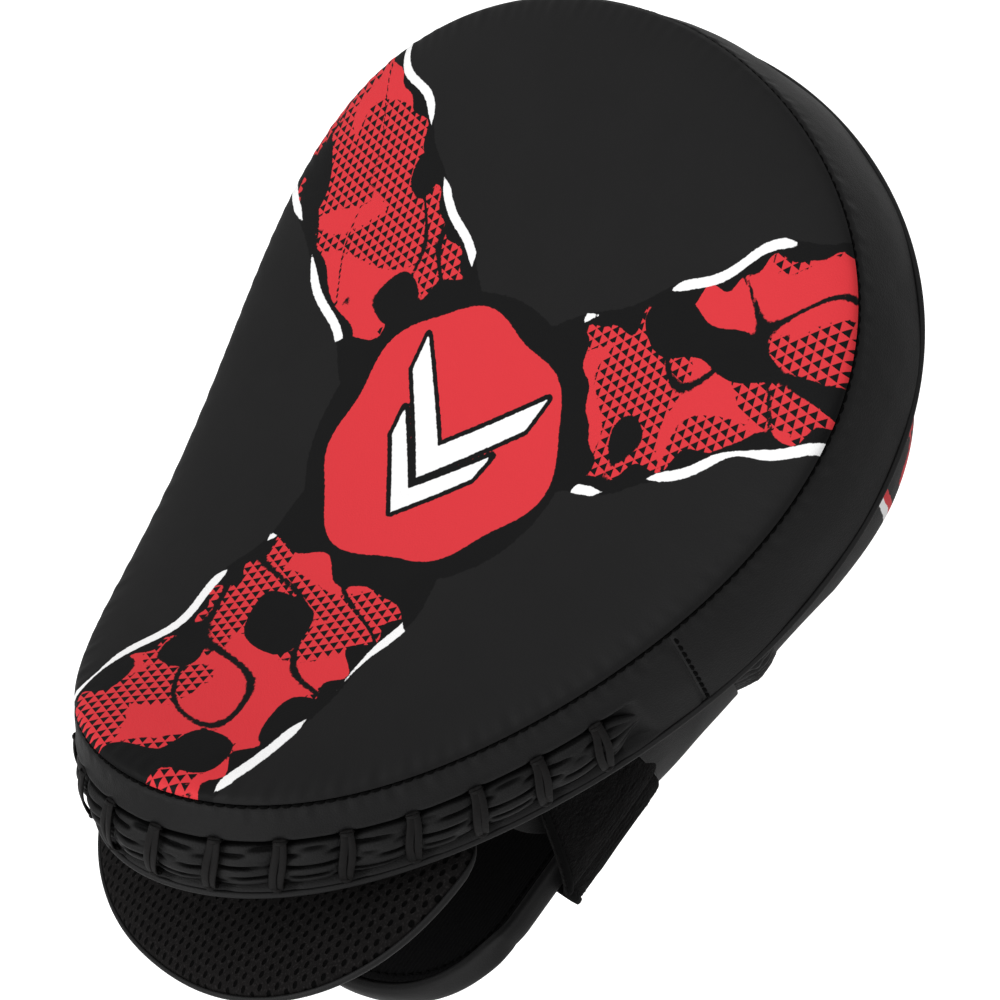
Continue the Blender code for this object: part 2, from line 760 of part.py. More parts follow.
def build_strap():
    """Strap sewn to the cuff, round the right-hand side, closed on the side tab."""
    slit = 0.0004
    outer_z = STRAP_CENTRE_Z - STRAP_THICKNESS / 2
    run_origin = (STRAP_START_X + STRAP_SEWN, 0.0, outer_z)
    corner = STRAP_FLAT + STRAP_CORNER * pi / 4
    corner_end = STRAP_FLAT + STRAP_CORNER * pi / 2
    reach = STRAP_CORNER + STRAP_THICKNESS / 2
    tip_origin = (STRAP_SIDE_X - STRAP_CORNER + reach * sin(pi / 4), 0.0,
                  STRAP_CENTRE_Z + STRAP_CORNER - reach * cos(pi / 4))
    run = list(np.linspace(STRAP_SEWN, STRAP_FLAT, 6)) + list(np.linspace(STRAP_FLAT, corner - slit, 6)[1:])
    end = list(np.linspace(corner + slit, corner_end, 6)) + list(np.linspace(corner_end, STRAP_LENGTH, 4)[1:])
    strap_piece("strap_root", loop_fabric(), (0.0, STRAP_SEWN / 2, STRAP_SEWN - slit),
                STRAP_THICKNESS, STRAP_Y, CUFF_AXIS)
    strap_piece("strap_run", loop_fabric(), run, STRAP_THICKNESS, STRAP_Y, run_origin)
    strap_piece("strap_end", loop_fabric(), end, STRAP_THICKNESS, STRAP_Y, tip_origin)
    tab_length = 0.009
    tab_thickness = 0.0018
    tab_y = (-0.075, -0.046)
    strap_piece("pull_tab", leather(), (STRAP_LENGTH + slit, STRAP_LENGTH + tab_length),
                tab_thickness, tab_y, tip_origin)


def build_side_tabs():
    """Leather tabs hanging beside the wrist, and the hook patch that the strap closes on."""
    inner = STRAP_SIDE_X - STRAP_THICKNESS / 2 - GAP
    patch = 0.0010
    skin = 0.0015
    patch_y = (-0.064, -0.045)
    patch_z = (-0.048, TAB_BOTTOM + 0.002)
    for side, word in ((1, "right"), (-1, "left")):
        x = inner - patch - GAP if side > 0 else inner - patch
        rows = []
        for share in np.linspace(0.0, 1.0, 4):
            rows.append([(side * x, y, back_height(y) * (1 - share) + TAB_BOTTOM * share)
                         for y in np.linspace(*TAB_Y, 4)])
        sheet_solid("side_tab_" + word, leather(), rows, skin, lambda place: Vector((place.x, 0.0, 0.0)))
    rows = [[(inner, y, z) for y in patch_y] for z in patch_z]
    sheet_solid("hook_patch", loop_fabric(), rows, patch, lambda place: Vector((1.0, 0.0, 0.0)))


def hang_from_seam(group):
    """Put every piece under an empty at the middle of the face seam."""
    seam = bpy.data.objects.new("face_seam_middle", None)
    for item in group.objects:
        item.parent = seam
    group.objects.link(seam)
    seam.location = (0.0, 0.0, -FLOOR_Z)


def main():
    clear_scene()
    group = bpy.data.collections.new(COLLECTION)
    bpy.context.scene.collection.children.link(group)
    build_pad_layers()
    build_side_wall()
    build_rim_piping()
    build_wrist_lace()
    build_hand_compartment()
    build_palm_ball()
    build_tongue()
    build_wrist_pad()
    build_cuff()
    build_side_tabs()
    build_strap()
    hang_from_seam(group)


main()
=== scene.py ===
"""Looks of the curved focus mitt: leather, mesh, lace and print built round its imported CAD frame.

Lengths are design millimetres times MM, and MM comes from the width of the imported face.  Flat
pattern positions are (x, s, h): across the face, along its curve and up from the face seam.
"""

import json
from math import acos, cos, pi, radians, sin

import bmesh
import bpy
import numpy as np
from mathutils import Matrix, Vector


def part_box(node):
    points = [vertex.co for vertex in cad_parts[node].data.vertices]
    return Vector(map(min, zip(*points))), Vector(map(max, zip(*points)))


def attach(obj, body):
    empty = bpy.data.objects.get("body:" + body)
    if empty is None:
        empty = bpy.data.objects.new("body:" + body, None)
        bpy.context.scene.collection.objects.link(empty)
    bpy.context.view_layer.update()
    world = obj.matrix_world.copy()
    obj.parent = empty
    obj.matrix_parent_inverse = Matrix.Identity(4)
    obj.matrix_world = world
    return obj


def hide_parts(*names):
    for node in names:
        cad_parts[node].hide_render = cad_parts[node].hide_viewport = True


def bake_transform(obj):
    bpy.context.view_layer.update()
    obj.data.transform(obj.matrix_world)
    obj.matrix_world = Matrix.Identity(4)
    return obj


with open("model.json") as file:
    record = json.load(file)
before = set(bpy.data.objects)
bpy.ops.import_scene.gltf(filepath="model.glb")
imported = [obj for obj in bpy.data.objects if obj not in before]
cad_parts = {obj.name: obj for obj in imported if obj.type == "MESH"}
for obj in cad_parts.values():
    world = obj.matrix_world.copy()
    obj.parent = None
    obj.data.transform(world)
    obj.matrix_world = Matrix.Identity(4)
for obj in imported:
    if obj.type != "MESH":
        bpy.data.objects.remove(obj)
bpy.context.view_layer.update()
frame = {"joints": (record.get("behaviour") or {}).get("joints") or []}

FACE_LOW, FACE_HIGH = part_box("face_cover")
HOOD_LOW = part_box("hood_shell")[0]
JOINTS = {joint["name"]: joint for joint in frame["joints"]}

FACE_WIDTH_MM = 225.4
MM = (FACE_HIGH.x - FACE_LOW.x) / FACE_WIDTH_MM
SEAM_Z = HOOD_LOW.z + 102.0 * MM         # height of the middle of the face seam

# Striking pad, as in the frame's own pattern
ARC_LENGTH = 270.0 * MM
HALF_WIDTH = 109.4 * MM
PEAR = 30.9 * MM
SHOULDER = 5.4 * MM
TIP_TAPER = 3.8 * MM
TILT = 0.0732
BEND = 0.00409 / MM
BEND_CHANGE = -0.0000251 / MM ** 2
BACK_SCALE = 0.986
CROWN = 7.0 * MM
SKIN = 1.4 * MM
WALL_BOTTOM = -31.6 * MM
BACK_TOP = -32.4 * MM
BACK_BOTTOM = -33.8 * MM
UNDER_GAP = 0.4 * MM
FLARE = 2.5 * MM
FLARE_ANGLE = 0.5
WALL_BULGE = 1.2 * MM
PIPING_H = -32.8 * MM
SEAM_S = -14.1 * MM
SEAM_LEAN = 0.036
JOIN_GAP = 0.0002                        # outline angle either side of an upright join
JOIN_TO_STITCHES = 0.9 / 110.0           # outline angle from an upright join to its stitches
LACE_TOP = -12.5 * MM
LACE_BOTTOM = -29.6 * MM
LACE_BARS = 17
LACE_PITCH = 17.0 * MM
LACE_SLANT = 3.5 * MM
STRIP_TOP = -13.6 * MM
STRIP_BOTTOM = -28.8 * MM

# Hand compartment
FLOOR_Z = HOOD_LOW.z
HOOD_END_Y = 116.0 * MM
HOOD_CENTRE_Y = 35.0 * MM
HOOD_MOUTH_Y = 10.0 * MM
HOOD_WIDTH = 83.5 * MM
HOOD_MOUTH_WIDTH = 79.5 * MM
HOOD_THICKNESS = 9.6 * MM
HOOD_LINING = 1.9 * MM
HOOD_SWELL = 4.0 * MM
HOOD_WALL_COLS = 36
HOOD_FLAT_COLS = 60
FLAT_SHARE = 0.58
TAIL_SHARE = 0.93
WRIST_EDGE_Y = HOOD_LOW.y

# Wrist
TONGUE_AXIS = Vector(JOINTS["tongue_flex"]["pos_m"])
TONGUE_WIDEST_Y = TONGUE_AXIS.y - 13.5 * MM
TONGUE_TIP_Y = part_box("tongue_cover")[0].y
TONGUE_HALF_WIDTH = 66.5 * MM
CUSHION_CENTRE_Y = -88.0 * MM
CUFF_AXIS = Vector(JOINTS["cuff_open"]["pos_m"])
CUFF_TIP_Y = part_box("cuff_shell")[0].y
CUFF_CENTRE_Y = CUFF_AXIS.y - 56.5 * MM
CUFF_HALF_WIDTH = 54.8 * MM
CUFF_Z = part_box("cuff_shell")[0].z
CUFF_LIFT = 12.0 * MM
CUFF_BACK = CUFF_AXIS.y - 0.5 * MM - CUFF_CENTRE_Y
CUFF_POWERS = (1.8, 8.0)                 # roundness towards the tip and towards the hinge
STRAP_LOW, STRAP_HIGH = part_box("strap_run")
STRAP_TOP_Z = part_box("strap_end")[1].z
STRAP_THICKNESS = 2.2 * MM
STRAP_CORNER = 16.5 * MM
STRAP_START_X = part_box("strap_root")[0].x
STRAP_SIDE_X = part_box("strap_end")[1].x - STRAP_THICKNESS / 2
STRAP_Z = STRAP_LOW.z + STRAP_THICKNESS / 2
STRAP_FLAT = STRAP_SIDE_X - STRAP_CORNER - STRAP_START_X
STRAP_LENGTH = STRAP_FLAT + STRAP_CORNER * pi / 2 + (STRAP_TOP_Z - STRAP_Z - STRAP_CORNER)
STRAP_EDGES = (STRAP_LOW.y, STRAP_HIGH.y)
STRAP_TURN_IN = 4.4 * MM
STRAP_BOW = 3.0 * MM
STRAP_TIP_Y = STRAP_EDGES[0] + 15.0 * MM


# ---------------------------------------------------------------- small numeric helpers

def smooth(low, high, value):
    """Smooth step from 0 at low to 1 at high."""
    share = np.clip((value - low) / (high - low), 0.0, 1.0)
    return share * share * (3 - 2 * share)


def ripple(value, wavelength, seed):
    """Smooth repeatable wander between about -1 and 1."""
    random = np.random.default_rng(seed)
    total = np.zeros_like(np.asarray(value, float))
    for _ in range(5):
        stretch = random.uniform(0.6, 1.6)
        total = total + np.sin(2 * pi * (value / (wavelength * stretch) + random.uniform()))
    return total / 3


def unit(vectors):
    return vectors / np.maximum(np.linalg.norm(vectors, axis=-1, keepdims=True), 1e-12)


def soften(path):
    """Round the corners of an open polyline by cutting them three times."""
    path = np.array(path, float)
    for _ in range(3):
        near = path[:-1] * 0.75 + path[1:] * 0.25
        far = path[:-1] * 0.25 + path[1:] * 0.75
        cut = np.stack([near, far], 1).reshape(-1, path.shape[1])
        path = np.concatenate([path[:1], cut, path[-1:]])
    return path


def superpower(value, power):
    """A sine or cosine raised to a power with its sign kept."""
    return np.sign(value) * np.abs(value) ** power


def ring_angles(count):
    return np.linspace(0, 2 * pi, count, endpoint=False)


def path_lengths(path):
    """Distance along a polyline to each of its points."""
    return np.concatenate([[0.0], np.cumsum(np.linalg.norm(np.diff(path, axis=0), axis=1))])


def at_marks(marks, lengths, values):
    """Values of a path's points at distances along it."""
    return np.stack([np.interp(marks, lengths, column) for column in values.T], -1)


def resample(path, count):
    """Points at even distances along a polyline."""
    lengths = path_lengths(path)
    return at_marks(np.linspace(0.0, lengths[-1], count), lengths, path)


# ---------------------------------------------------------------- flat pattern and bend

def outline(angle):
    """Flat pattern position on the face seam.  Angle 0 is the wrist end, pi the finger end."""
    angle = np.asarray(angle, float)
    along = -np.cos(angle)
    width = HALF_WIDTH + PEAR * along + SHOULDER * np.cos(2 * angle) + TIP_TAPER * np.cos(3 * angle)
    return np.stack([np.sin(angle) * width, ARC_LENGTH / 2 * along], -1)


def outline_normal(angle):
    step = 0.001
    run = outline(np.asarray(angle) + step) - outline(np.asarray(angle) - step)
    normal = np.stack([run[..., 1], -run[..., 0]], -1)
    return normal / np.linalg.norm(normal, axis=-1, keepdims=True)


SPINE_S = np.linspace(-0.6, 0.6, 1201) * ARC_LENGTH
SPINE_SLOPE = TILT + BEND * SPINE_S + BEND_CHANGE * SPINE_S ** 2 / 2


def running_sum(values):
    steps = (values[1:] + values[:-1]) / 2 * (SPINE_S[1] - SPINE_S[0])
    total = np.concatenate([[0.0], np.cumsum(steps)])
    return total - np.interp(0.0, SPINE_S, total)


SPINE_Y = running_sum(np.cos(SPINE_SLOPE))
SPINE_Z = SEAM_Z + running_sum(np.sin(SPINE_SLOPE))


def bend(x, s, h):
    """World positions of flat pattern positions."""
    slope = np.interp(s, SPINE_S, SPINE_SLOPE)
    y = np.interp(s, SPINE_S, SPINE_Y) - h * np.sin(slope)
    z = np.interp(s, SPINE_S, SPINE_Z) + h * np.cos(slope)
    return np.stack(np.broadcast_arrays(x, y, z), -1)


def underside(y):
    """Height, just under the pad, that pieces below it reach up to at a world y."""
    h = BACK_BOTTOM - UNDER_GAP
    return np.interp(y, SPINE_Y - h * np.sin(SPINE_SLOPE), SPINE_Z + h * np.cos(SPINE_SLOPE))


SEAM_ANGLE = acos(-2 * SEAM_S / ARC_LENGTH)
LOOP_ANGLES = np.linspace(-pi, pi, 1441)
LOOP_LENGTHS = path_lengths(outline(LOOP_ANGLES))
LOOP_LENGTHS = LOOP_LENGTHS - np.interp(0.0, LOOP_ANGLES, LOOP_LENGTHS)


def angle_at(distance):
    """Outline angle at a distance along the outline from the wrist end."""
    return np.interp(distance, LOOP_LENGTHS, LOOP_ANGLES)


def length_at(angle):
    return np.interp(angle, LOOP_ANGLES, LOOP_LENGTHS)


def wrapped(angle):
    """The same angle between -pi and pi."""
    return (angle + pi) % (2 * pi) - pi


def wall_flare(angle):
    """How far the back of the wall stands out near the upright joins."""
    return FLARE * np.exp(-((np.abs(wrapped(angle)) - SEAM_ANGLE) / FLARE_ANGLE) ** 2)


def wall(angle, h, out):
    """World positions on the side wall at a height, a distance out of its surface."""
    angle, h, out = np.broadcast_arrays(angle, h, out)
    depth = np.clip(h / WALL_BOTTOM, 0.0, 1.1)
    flare = wall_flare(angle) * depth
    bulge = WALL_BULGE * np.sin(pi * np.clip(depth, 0.0, 1.0))
    plan = outline(angle) * (1 - (1 - BACK_SCALE) * depth)[..., None]
    plan = plan + outline_normal(angle) * (flare + bulge + out)[..., None]
    return bend(plan[..., 0], plan[..., 1], h)


def wall_path(angle, h, out):
    """Path on the side wall and the outward directions along it."""
    path = wall(angle, h, out)
    return path, unit(wall(angle, h, out + MM) - path)


# ---------------------------------------------------------------- mesh helpers

def quads(rows, cols, wrap=False):
    """Faces of a grid of vertices stored row by row."""
    last = cols if wrap else cols - 1
    i, j = np.meshgrid(np.arange(rows - 1), np.arange(last), indexing="ij")
    first = i * cols + j
    second = i * cols + (j + 1) % cols
    return np.stack([first, second, second + cols, first + cols], -1).reshape(-1, 4).tolist()


UP = np.array([0.0, 0.0, 1.0])
SHARP_ANGLE = radians(50)
STITCH_LIFT = 0.10 * MM
AIR_FRAMES = 10


def piece(name, points, faces, look, smooth_angle=None):
    """Object from points and faces, its faces turned outwards."""
    data = bpy.data.meshes.new(name)
    data.from_pydata(np.asarray(points, float).reshape(-1, 3).tolist(), [], faces)
    shape = bmesh.new()
    shape.from_mesh(data)
    bmesh.ops.recalc_face_normals(shape, faces=shape.faces)
    shape.to_mesh(data)
    shape.free()
    data.shade_smooth()
    if smooth_angle:
        data.set_sharp_from_angle(angle=smooth_angle)
    item = bpy.data.objects.new(name, data)
    bpy.context.scene.collection.objects.link(item)
    data.materials.append(look)
    return item


def settle(item, body, slot, *nodes):
    """Ride on a body and stand for CAD nodes; the slot argument is not used."""
    if body:
        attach(item, body)
    if nodes:
        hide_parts(*nodes)
    return item


def bend_with(item):
    """Bake a piece's world transform into its mesh."""
    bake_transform(item)


def paint(item, name, values):
    """Store one number for each vertex."""
    values = np.asarray(values, np.float32).ravel()
    item.data.attributes.new(name, "FLOAT", "POINT").data.foreach_set("value", values)


def lay_out(item, u, v):
    """Store each vertex's place on the cut piece of cloth, in metres."""
    u, v = np.broadcast_arrays(u, v)
    flat = np.stack([u.ravel(), v.ravel(), np.zeros(u.size)], -1)
    made = item.data.attributes.new("cloth", "FLOAT_VECTOR", "POINT")
    made.data.foreach_set("vector", flat.astype(np.float32).ravel())


def closed_rows(rows):
    """Points and faces of rings of vertices closed by a pole at each end."""
    count, cols = rows.shape[:2]
    points = np.concatenate([rows.reshape(-1, 3), rows[0].mean(0)[None], rows[-1].mean(0)[None]])
    faces = quads(count, cols, wrap=True)
    first_pole, last_pole = count * cols, count * cols + 1
    base = (count - 1) * cols
    for j in range(cols):
        k = (j + 1) % cols
        faces.append([first_pole, k, j])
        faces.append([last_pole, base + j, base + k])
    return points, faces


def grid_normals(points):
    return unit(np.cross(np.gradient(points, axis=1), np.gradient(points, axis=0)))


def lined_rows(front, back):
    """Points and faces of a grid closed on to a second grid behind it."""
    rows, cols = front.shape[:2]
    size = rows * cols
    faces = quads(rows, cols)
    faces = faces + [[i + size for i in reversed(face)] for face in faces]
    low = (rows - 1) * cols
    for j in range(cols - 1):
        k = j + 1
        faces.append([j, k, k + size, j + size])
        faces.append([low + k, low + j, low + j + size, low + k + size])
    for i in range(rows - 1):
        a, b = i * cols, (i + 1) * cols
        faces.append([b, a, a + size, b + size])
        faces.append([a + cols - 1, b + cols - 1, b + cols - 1 + size, a + cols - 1 + size])
    return np.concatenate([front.reshape(-1, 3), back.reshape(-1, 3)]), faces


def thick_rows(points, thickness):
    """Points and faces of a grid given a second side a thickness along its normals."""
    return lined_rows(points, points + grid_normals(points) * thickness)


def sheet(name, points, thickness, look):
    """Closed sheet of cloth or leather: its visible side and a back a thickness behind it."""
    return piece(name, *thick_rows(points, thickness), look, SHARP_ANGLE)


def lined_sheet(name, front, back, look):
    """Closed sheet between two grids."""
    return piece(name, *lined_rows(front, back), look, SHARP_ANGLE)


def slab(name, plan, levels, look):
    """Closed curved plate: the plan scaled by each share at its own height h."""
    rows = [bend(*(plan * share).T, h) for share, h in levels]
    return piece(name, *closed_rows(np.array(rows)), look)


def sweep(centres, up, half_side, half_up, steps=8, closed=False, power=2.0):
    """Points and faces of a cord along centres, its flat way across the up direction."""
    ahead = np.gradient(centres, axis=0)
    if closed:
        ahead = np.roll(centres, -1, axis=0) - np.roll(centres, 1, axis=0)
    ahead = unit(ahead)
    side = unit(np.cross(ahead, np.broadcast_to(up, centres.shape)))
    rise = np.cross(side, ahead)
    turn = ring_angles(steps) + pi / steps
    flat = superpower(np.cos(turn), 2 / power)
    tall = superpower(np.sin(turn), 2 / power)
    half_side = np.broadcast_to(half_side, len(centres))[:, None, None]
    half_up = np.broadcast_to(half_up, len(centres))[:, None, None]
    rings = centres[:, None] + side[:, None] * flat[:, None] * half_side
    rings = rings + rise[:, None] * tall[:, None] * half_up
    if not closed:
        return closed_rows(rings)
    count = len(centres)
    faces = quads(count, steps, wrap=True)
    for j in range(steps):
        k = (j + 1) % steps
        faces.append([(count - 1) * steps + j, (count - 1) * steps + k, k, j])
    return rings.reshape(-1, 3), faces


def merge(parts):
    """Join several (points, faces) into one."""
    points, faces, start = [], [], 0
    for some_points, some_faces in parts:
        points.append(some_points)
        faces += [[i + start for i in face] for face in some_faces]
        start += len(some_points)
    return np.concatenate(points), faces


def stitch_parts(path, outward, pitch, length, radius):
    """Short threads laid end to end along a path, each one diving in at both ends."""
    lengths = path_lengths(path)
    count = int(lengths[-1] / pitch)
    shape = np.array([-1.0, -0.8, -0.35, 0.35, 0.8, 1.0])    # shares of half a stitch
    parts = []
    for i in range(count):
        marks = (i + 0.5) * lengths[-1] / count + shape * length / 2
        out = unit(at_marks(marks, lengths, outward))
        rise = (1 - shape ** 4) * (radius + STITCH_LIFT) - radius
        place = at_marks(marks, lengths, path) + out * rise[:, None]
        parts.append(sweep(place, out, radius * 1.15, radius, steps=6))
    return parts


def vertex_places(data):
    places = np.empty(len(data.vertices) * 3, np.float32)
    data.vertices.foreach_get("co", places)
    return places.reshape(-1, 3)


def inflate(item, pinned, pressure, reach):
    """Press a closed soft piece out from inside with a short cloth simulation, and keep the result."""
    group = item.vertex_groups.new(name="pinned")
    group.add([int(index) for index in pinned], 1.0, "REPLACE")
    air = item.modifiers.new("air", "CLOTH")
    air.settings.vertex_group_mass = group.name
    air.settings.quality = 4
    air.settings.mass = 0.15
    air.settings.bending_stiffness = 0.4
    air.settings.use_pressure = True
    air.settings.uniform_pressure_force = pressure
    air.settings.effector_weights.gravity = 0.0
    air.point_cache.frame_start = 1
    air.point_cache.frame_end = AIR_FRAMES
    for step in range(1, AIR_FRAMES + 1):
        bpy.context.scene.frame_set(step)
    shaped = item.evaluated_get(bpy.context.evaluated_depsgraph_get()).data
    before = vertex_places(item.data)
    after = vertex_places(shaped)
    item.modifiers.remove(air)
    item.vertex_groups.remove(group)
    moved = after - before
    size = np.maximum(np.linalg.norm(moved, axis=1, keepdims=True), 1e-9)
    moved = moved / size * reach * np.tanh(size / reach)
    item.data.vertices.foreach_set("co", (before + moved).ravel())
    item.data.update()
    bpy.context.scene.frame_set(1)


# ---------------------------------------------------------------- material helper

class Nodes:
    """Shader nodes of a material or a world, made and joined by name."""

    def __init__(self, owner):
        owner.use_nodes = True
        self.tree = owner.node_tree

    def node(self, kind, inputs=None, **settings):
        made = self.tree.nodes.new(kind)
        for key, value in settings.items():
            setattr(made, key, value)
        for key, value in (inputs or {}).items():
            self.feed(made.inputs[key], value)
        return made

    def feed(self, socket, value):
        if isinstance(value, bpy.types.NodeSocket):
            self.tree.links.new(value, socket)
        elif socket.type == "RGBA" and len(value) == 3:
            socket.default_value = (*value, 1.0)
        else:
            socket.default_value = value


class Look(Nodes):
    """A procedural material: a few named steps round one Principled shader."""

    def __init__(self, name):
        self.material = bpy.data.materials.new(name)
        super().__init__(self.material)
        self.shader = self.tree.nodes["Principled BSDF"]
        self.place = self.node("ShaderNodeTexCoord").outputs["Object"]

    def sums(self, operation, first, second=0.0, third=0.0):
        inputs = {0: first, 1: second, 2: third}
        return self.node("ShaderNodeMath", inputs, operation=operation).outputs[0]

    def number(self, name):
        return self.node("ShaderNodeAttribute", attribute_name=name).outputs["Fac"]

    def cloth(self):
        return self.node("ShaderNodeAttribute", attribute_name="cloth").outputs["Vector"]

    def stretch(self, vector, scale, turn=0.0):
        inputs = {"Vector": vector, "Scale": scale, "Rotation": (0.0, 0.0, turn)}
        return self.node("ShaderNodeMapping", inputs).outputs[0]

    def split(self, vector):
        made = self.node("ShaderNodeSeparateXYZ", {0: vector})
        return made.outputs[0], made.outputs[1]

    def noise(self, scale, detail=3.0, vector=None, roughness=0.55):
        inputs = {"Vector": vector or self.place, "Scale": scale,
                  "Detail": detail, "Roughness": roughness}
        return self.node("ShaderNodeTexNoise", inputs).outputs["Fac"]

    def cells(self, scale):
        inputs = {"Vector": self.place, "Scale": scale}
        made = self.node("ShaderNodeTexVoronoi", inputs, feature="DISTANCE_TO_EDGE")
        return made.outputs["Distance"]

    def step(self, value, low, high, first=0.0, second=1.0):
        inputs = {"Value": value, "From Min": low, "From Max": high,
                  "To Min": first, "To Max": second}
        return self.node("ShaderNodeMapRange", inputs, interpolation_type="SMOOTHSTEP").outputs[0]

    def mix(self, factor, first, second):
        made = self.node("ShaderNodeMix", data_type="RGBA")
        self.feed(made.inputs[0], factor)
        self.feed(made.inputs[6], first)
        self.feed(made.inputs[7], second)
        return made.outputs[2]

    def bump(self, height, distance, normal=None):
        inputs = {"Height": height, "Distance": distance, "Strength": 1.0}
        if normal:
            inputs["Normal"] = normal
        return self.node("ShaderNodeBump", inputs).outputs["Normal"]

    def worn(self, colour, lighter):
        """Lighten the edges that rub."""
        edge = self.node("ShaderNodeNewGeometry").outputs["Pointiness"]
        rubbed = self.sums("MULTIPLY", self.step(edge, 0.515, 0.58), 0.6)
        return self.mix(rubbed, colour, lighter)

    def patchy(self, scale, colour, darkest, palest):
        """A colour that wanders between a darker and a paler shade of itself."""
        return self.mix(self.noise(scale), shade(colour, darkest), shade(colour, palest))

    def done(self, colour, roughness, normal=None, specular=0.25, sheen=0.0):
        for key, value in (("Base Color", colour), ("Roughness", roughness),
                           ("Specular IOR Level", specular), ("Sheen Weight", sheen)):
            self.feed(self.shader.inputs[key], value)
        if normal:
            self.feed(self.shader.inputs["Normal"], normal)
        return self.material


def shade(colour, factor):
    return tuple(channel * factor for channel in colour)


# ---------------------------------------------------------------- materials

LEATHER_BLACK = (0.0085, 0.0084, 0.0086)
PRINT_BLACK = (0.0018, 0.0018, 0.0020)
PRINT_RED = (0.70, 0.036, 0.046)
PRINT_WHITE = (0.96, 0.96, 0.96)
LACE_BLACK = (0.0052, 0.0048, 0.0048)
MESH_BLACK = (0.0078, 0.0072, 0.0072)
HALFTONE_PITCH = 3.0 * MM
HALFTONE_ROW = 2.7 * MM
SLOT_PITCH = 3.0 * MM
SLOT_ROW = 3.2 * MM


def leather_finish(look, colour, roughness=0.50, grain=1.0, specular=0.13):
    """Soft synthetic leather over a given colour: fine pebble, pores and patchy polish."""
    pebble = look.cells(1100.0)
    pores = look.noise(2600.0, detail=1.0)
    swell = look.noise(45.0, detail=2.0)
    height = look.sums("MULTIPLY_ADD", pores, 0.35, look.step(pebble, 0.0, 0.22))
    normal = look.bump(height, 0.000035 * grain)
    normal = look.bump(swell, 0.0006 * grain, normal)
    polish = look.sums("MULTIPLY_ADD", look.noise(70.0), 0.16, roughness - 0.08)
    return look.done(colour, polish, normal, specular)


def leather_look(name, roughness=0.50, grain=1.0, specular=0.13):
    look = Look(name)
    worn = look.worn(look.patchy(30.0, LEATHER_BLACK, 0.82, 1.2), shade(LEATHER_BLACK, 2.0))
    return leather_finish(look, worn, roughness, grain, specular)


def printed_look(name):
    """Face leather with the print: black ground, red patches with half-tone, ragged white lines."""
    look = Look(name)
    base = look.patchy(30.0, LEATHER_BLACK, 0.85, 1.12)
    grain = look.noise(700.0, detail=4.0, roughness=0.65)
    ragged = look.sums("MULTIPLY_ADD", grain, 1.6 * MM, -0.8 * MM)
    crisp = 0.12 * MM
    ground = look.sums("ADD", look.number("ground"), ragged)
    red = look.sums("MULTIPLY_ADD", ragged, 0.6, look.number("red"))
    white = look.sums("MULTIPLY_ADD", ragged, 0.5, look.number("white"))
    dots = look.sums("ADD", look.number("dots"), ragged)
    places = look.stretch(look.cloth(), (1 / HALFTONE_PITCH, 1 / HALFTONE_ROW, 1.0), 0.25)
    across, along = look.split(places)
    row = look.sums("FLOOR", along)
    across = look.sums("FRACT", look.sums("MULTIPLY_ADD", row, 0.5, across))
    lean = look.sums("ABSOLUTE", look.sums("SUBTRACT", across, 0.5))
    rise = look.sums("MULTIPLY_ADD", look.sums("FRACT", along), -0.5, 0.46)
    triangle = look.step(look.sums("SUBTRACT", rise, lean), 0.0, 0.06)
    halftone = look.sums("MULTIPLY", triangle, look.step(dots, crisp, -crisp))
    colour = look.mix(look.step(ground, crisp, -crisp), base, PRINT_BLACK)
    ink = look.mix(halftone, PRINT_RED, PRINT_BLACK)
    colour = look.mix(look.step(red, crisp, -crisp), colour, ink)
    colour = look.mix(look.step(white, crisp, -crisp), colour, PRINT_WHITE)
    return leather_finish(look, colour, 0.50, 0.6, 0.12)


def gathered_look(name):
    """Thin leather drawn into folds, with painted shade in its hollows and creases and a painted highlight on
    its ridges.
    """
    look = Look(name)
    colour = look.patchy(90.0, LEATHER_BLACK, 0.8, 1.25)
    edge = look.node("ShaderNodeNewGeometry").outputs["Pointiness"]
    # painted shade: darker where the surface is hollow
    colour = look.mix(look.step(edge, 0.49, 0.40), colour, shade(LEATHER_BLACK, 0.25))
    # painted highlight: paler where the surface is a ridge
    colour = look.mix(look.step(edge, 0.51, 0.60), colour, shade(LEATHER_BLACK, 1.8))
    # painted shade stored on the strip: darker in its creases and along its tucked edges, with less specular
    # there
    crease_shade = look.number("crease_shade")
    colour = look.mix(look.sums("MULTIPLY", crease_shade, 0.8), colour, shade(LEATHER_BLACK, 0.12))
    return leather_finish(look, colour, 0.50, 1.2, look.step(crease_shade, 0.0, 0.9, 0.15, 0.04))


def thread_look(name, colour):
    """Twisted sewing thread or lace."""
    look = Look(name)
    fine = look.noise(1800.0, detail=2.0)
    twist = look.node("ShaderNodeTexWave", {"Vector": look.place, "Scale": 420.0, "Distortion": 2.0})
    tone = look.mix(fine, shade(colour, 0.6), shade(colour, 1.5))
    normal = look.bump(twist.outputs["Fac"], 0.00008)
    return look.done(tone, look.sums("MULTIPLY_ADD", fine, 0.2, 0.6), normal, 0.05)


def lace_look(name):
    """Flat leather lace, creased along its length."""
    look = Look(name)
    tone = look.patchy(260.0, LACE_BLACK, 0.7, 1.5)
    creases = look.noise(700.0, detail=4.0)
    return look.done(tone, 0.55, look.bump(creases, 0.00018), 0.11)


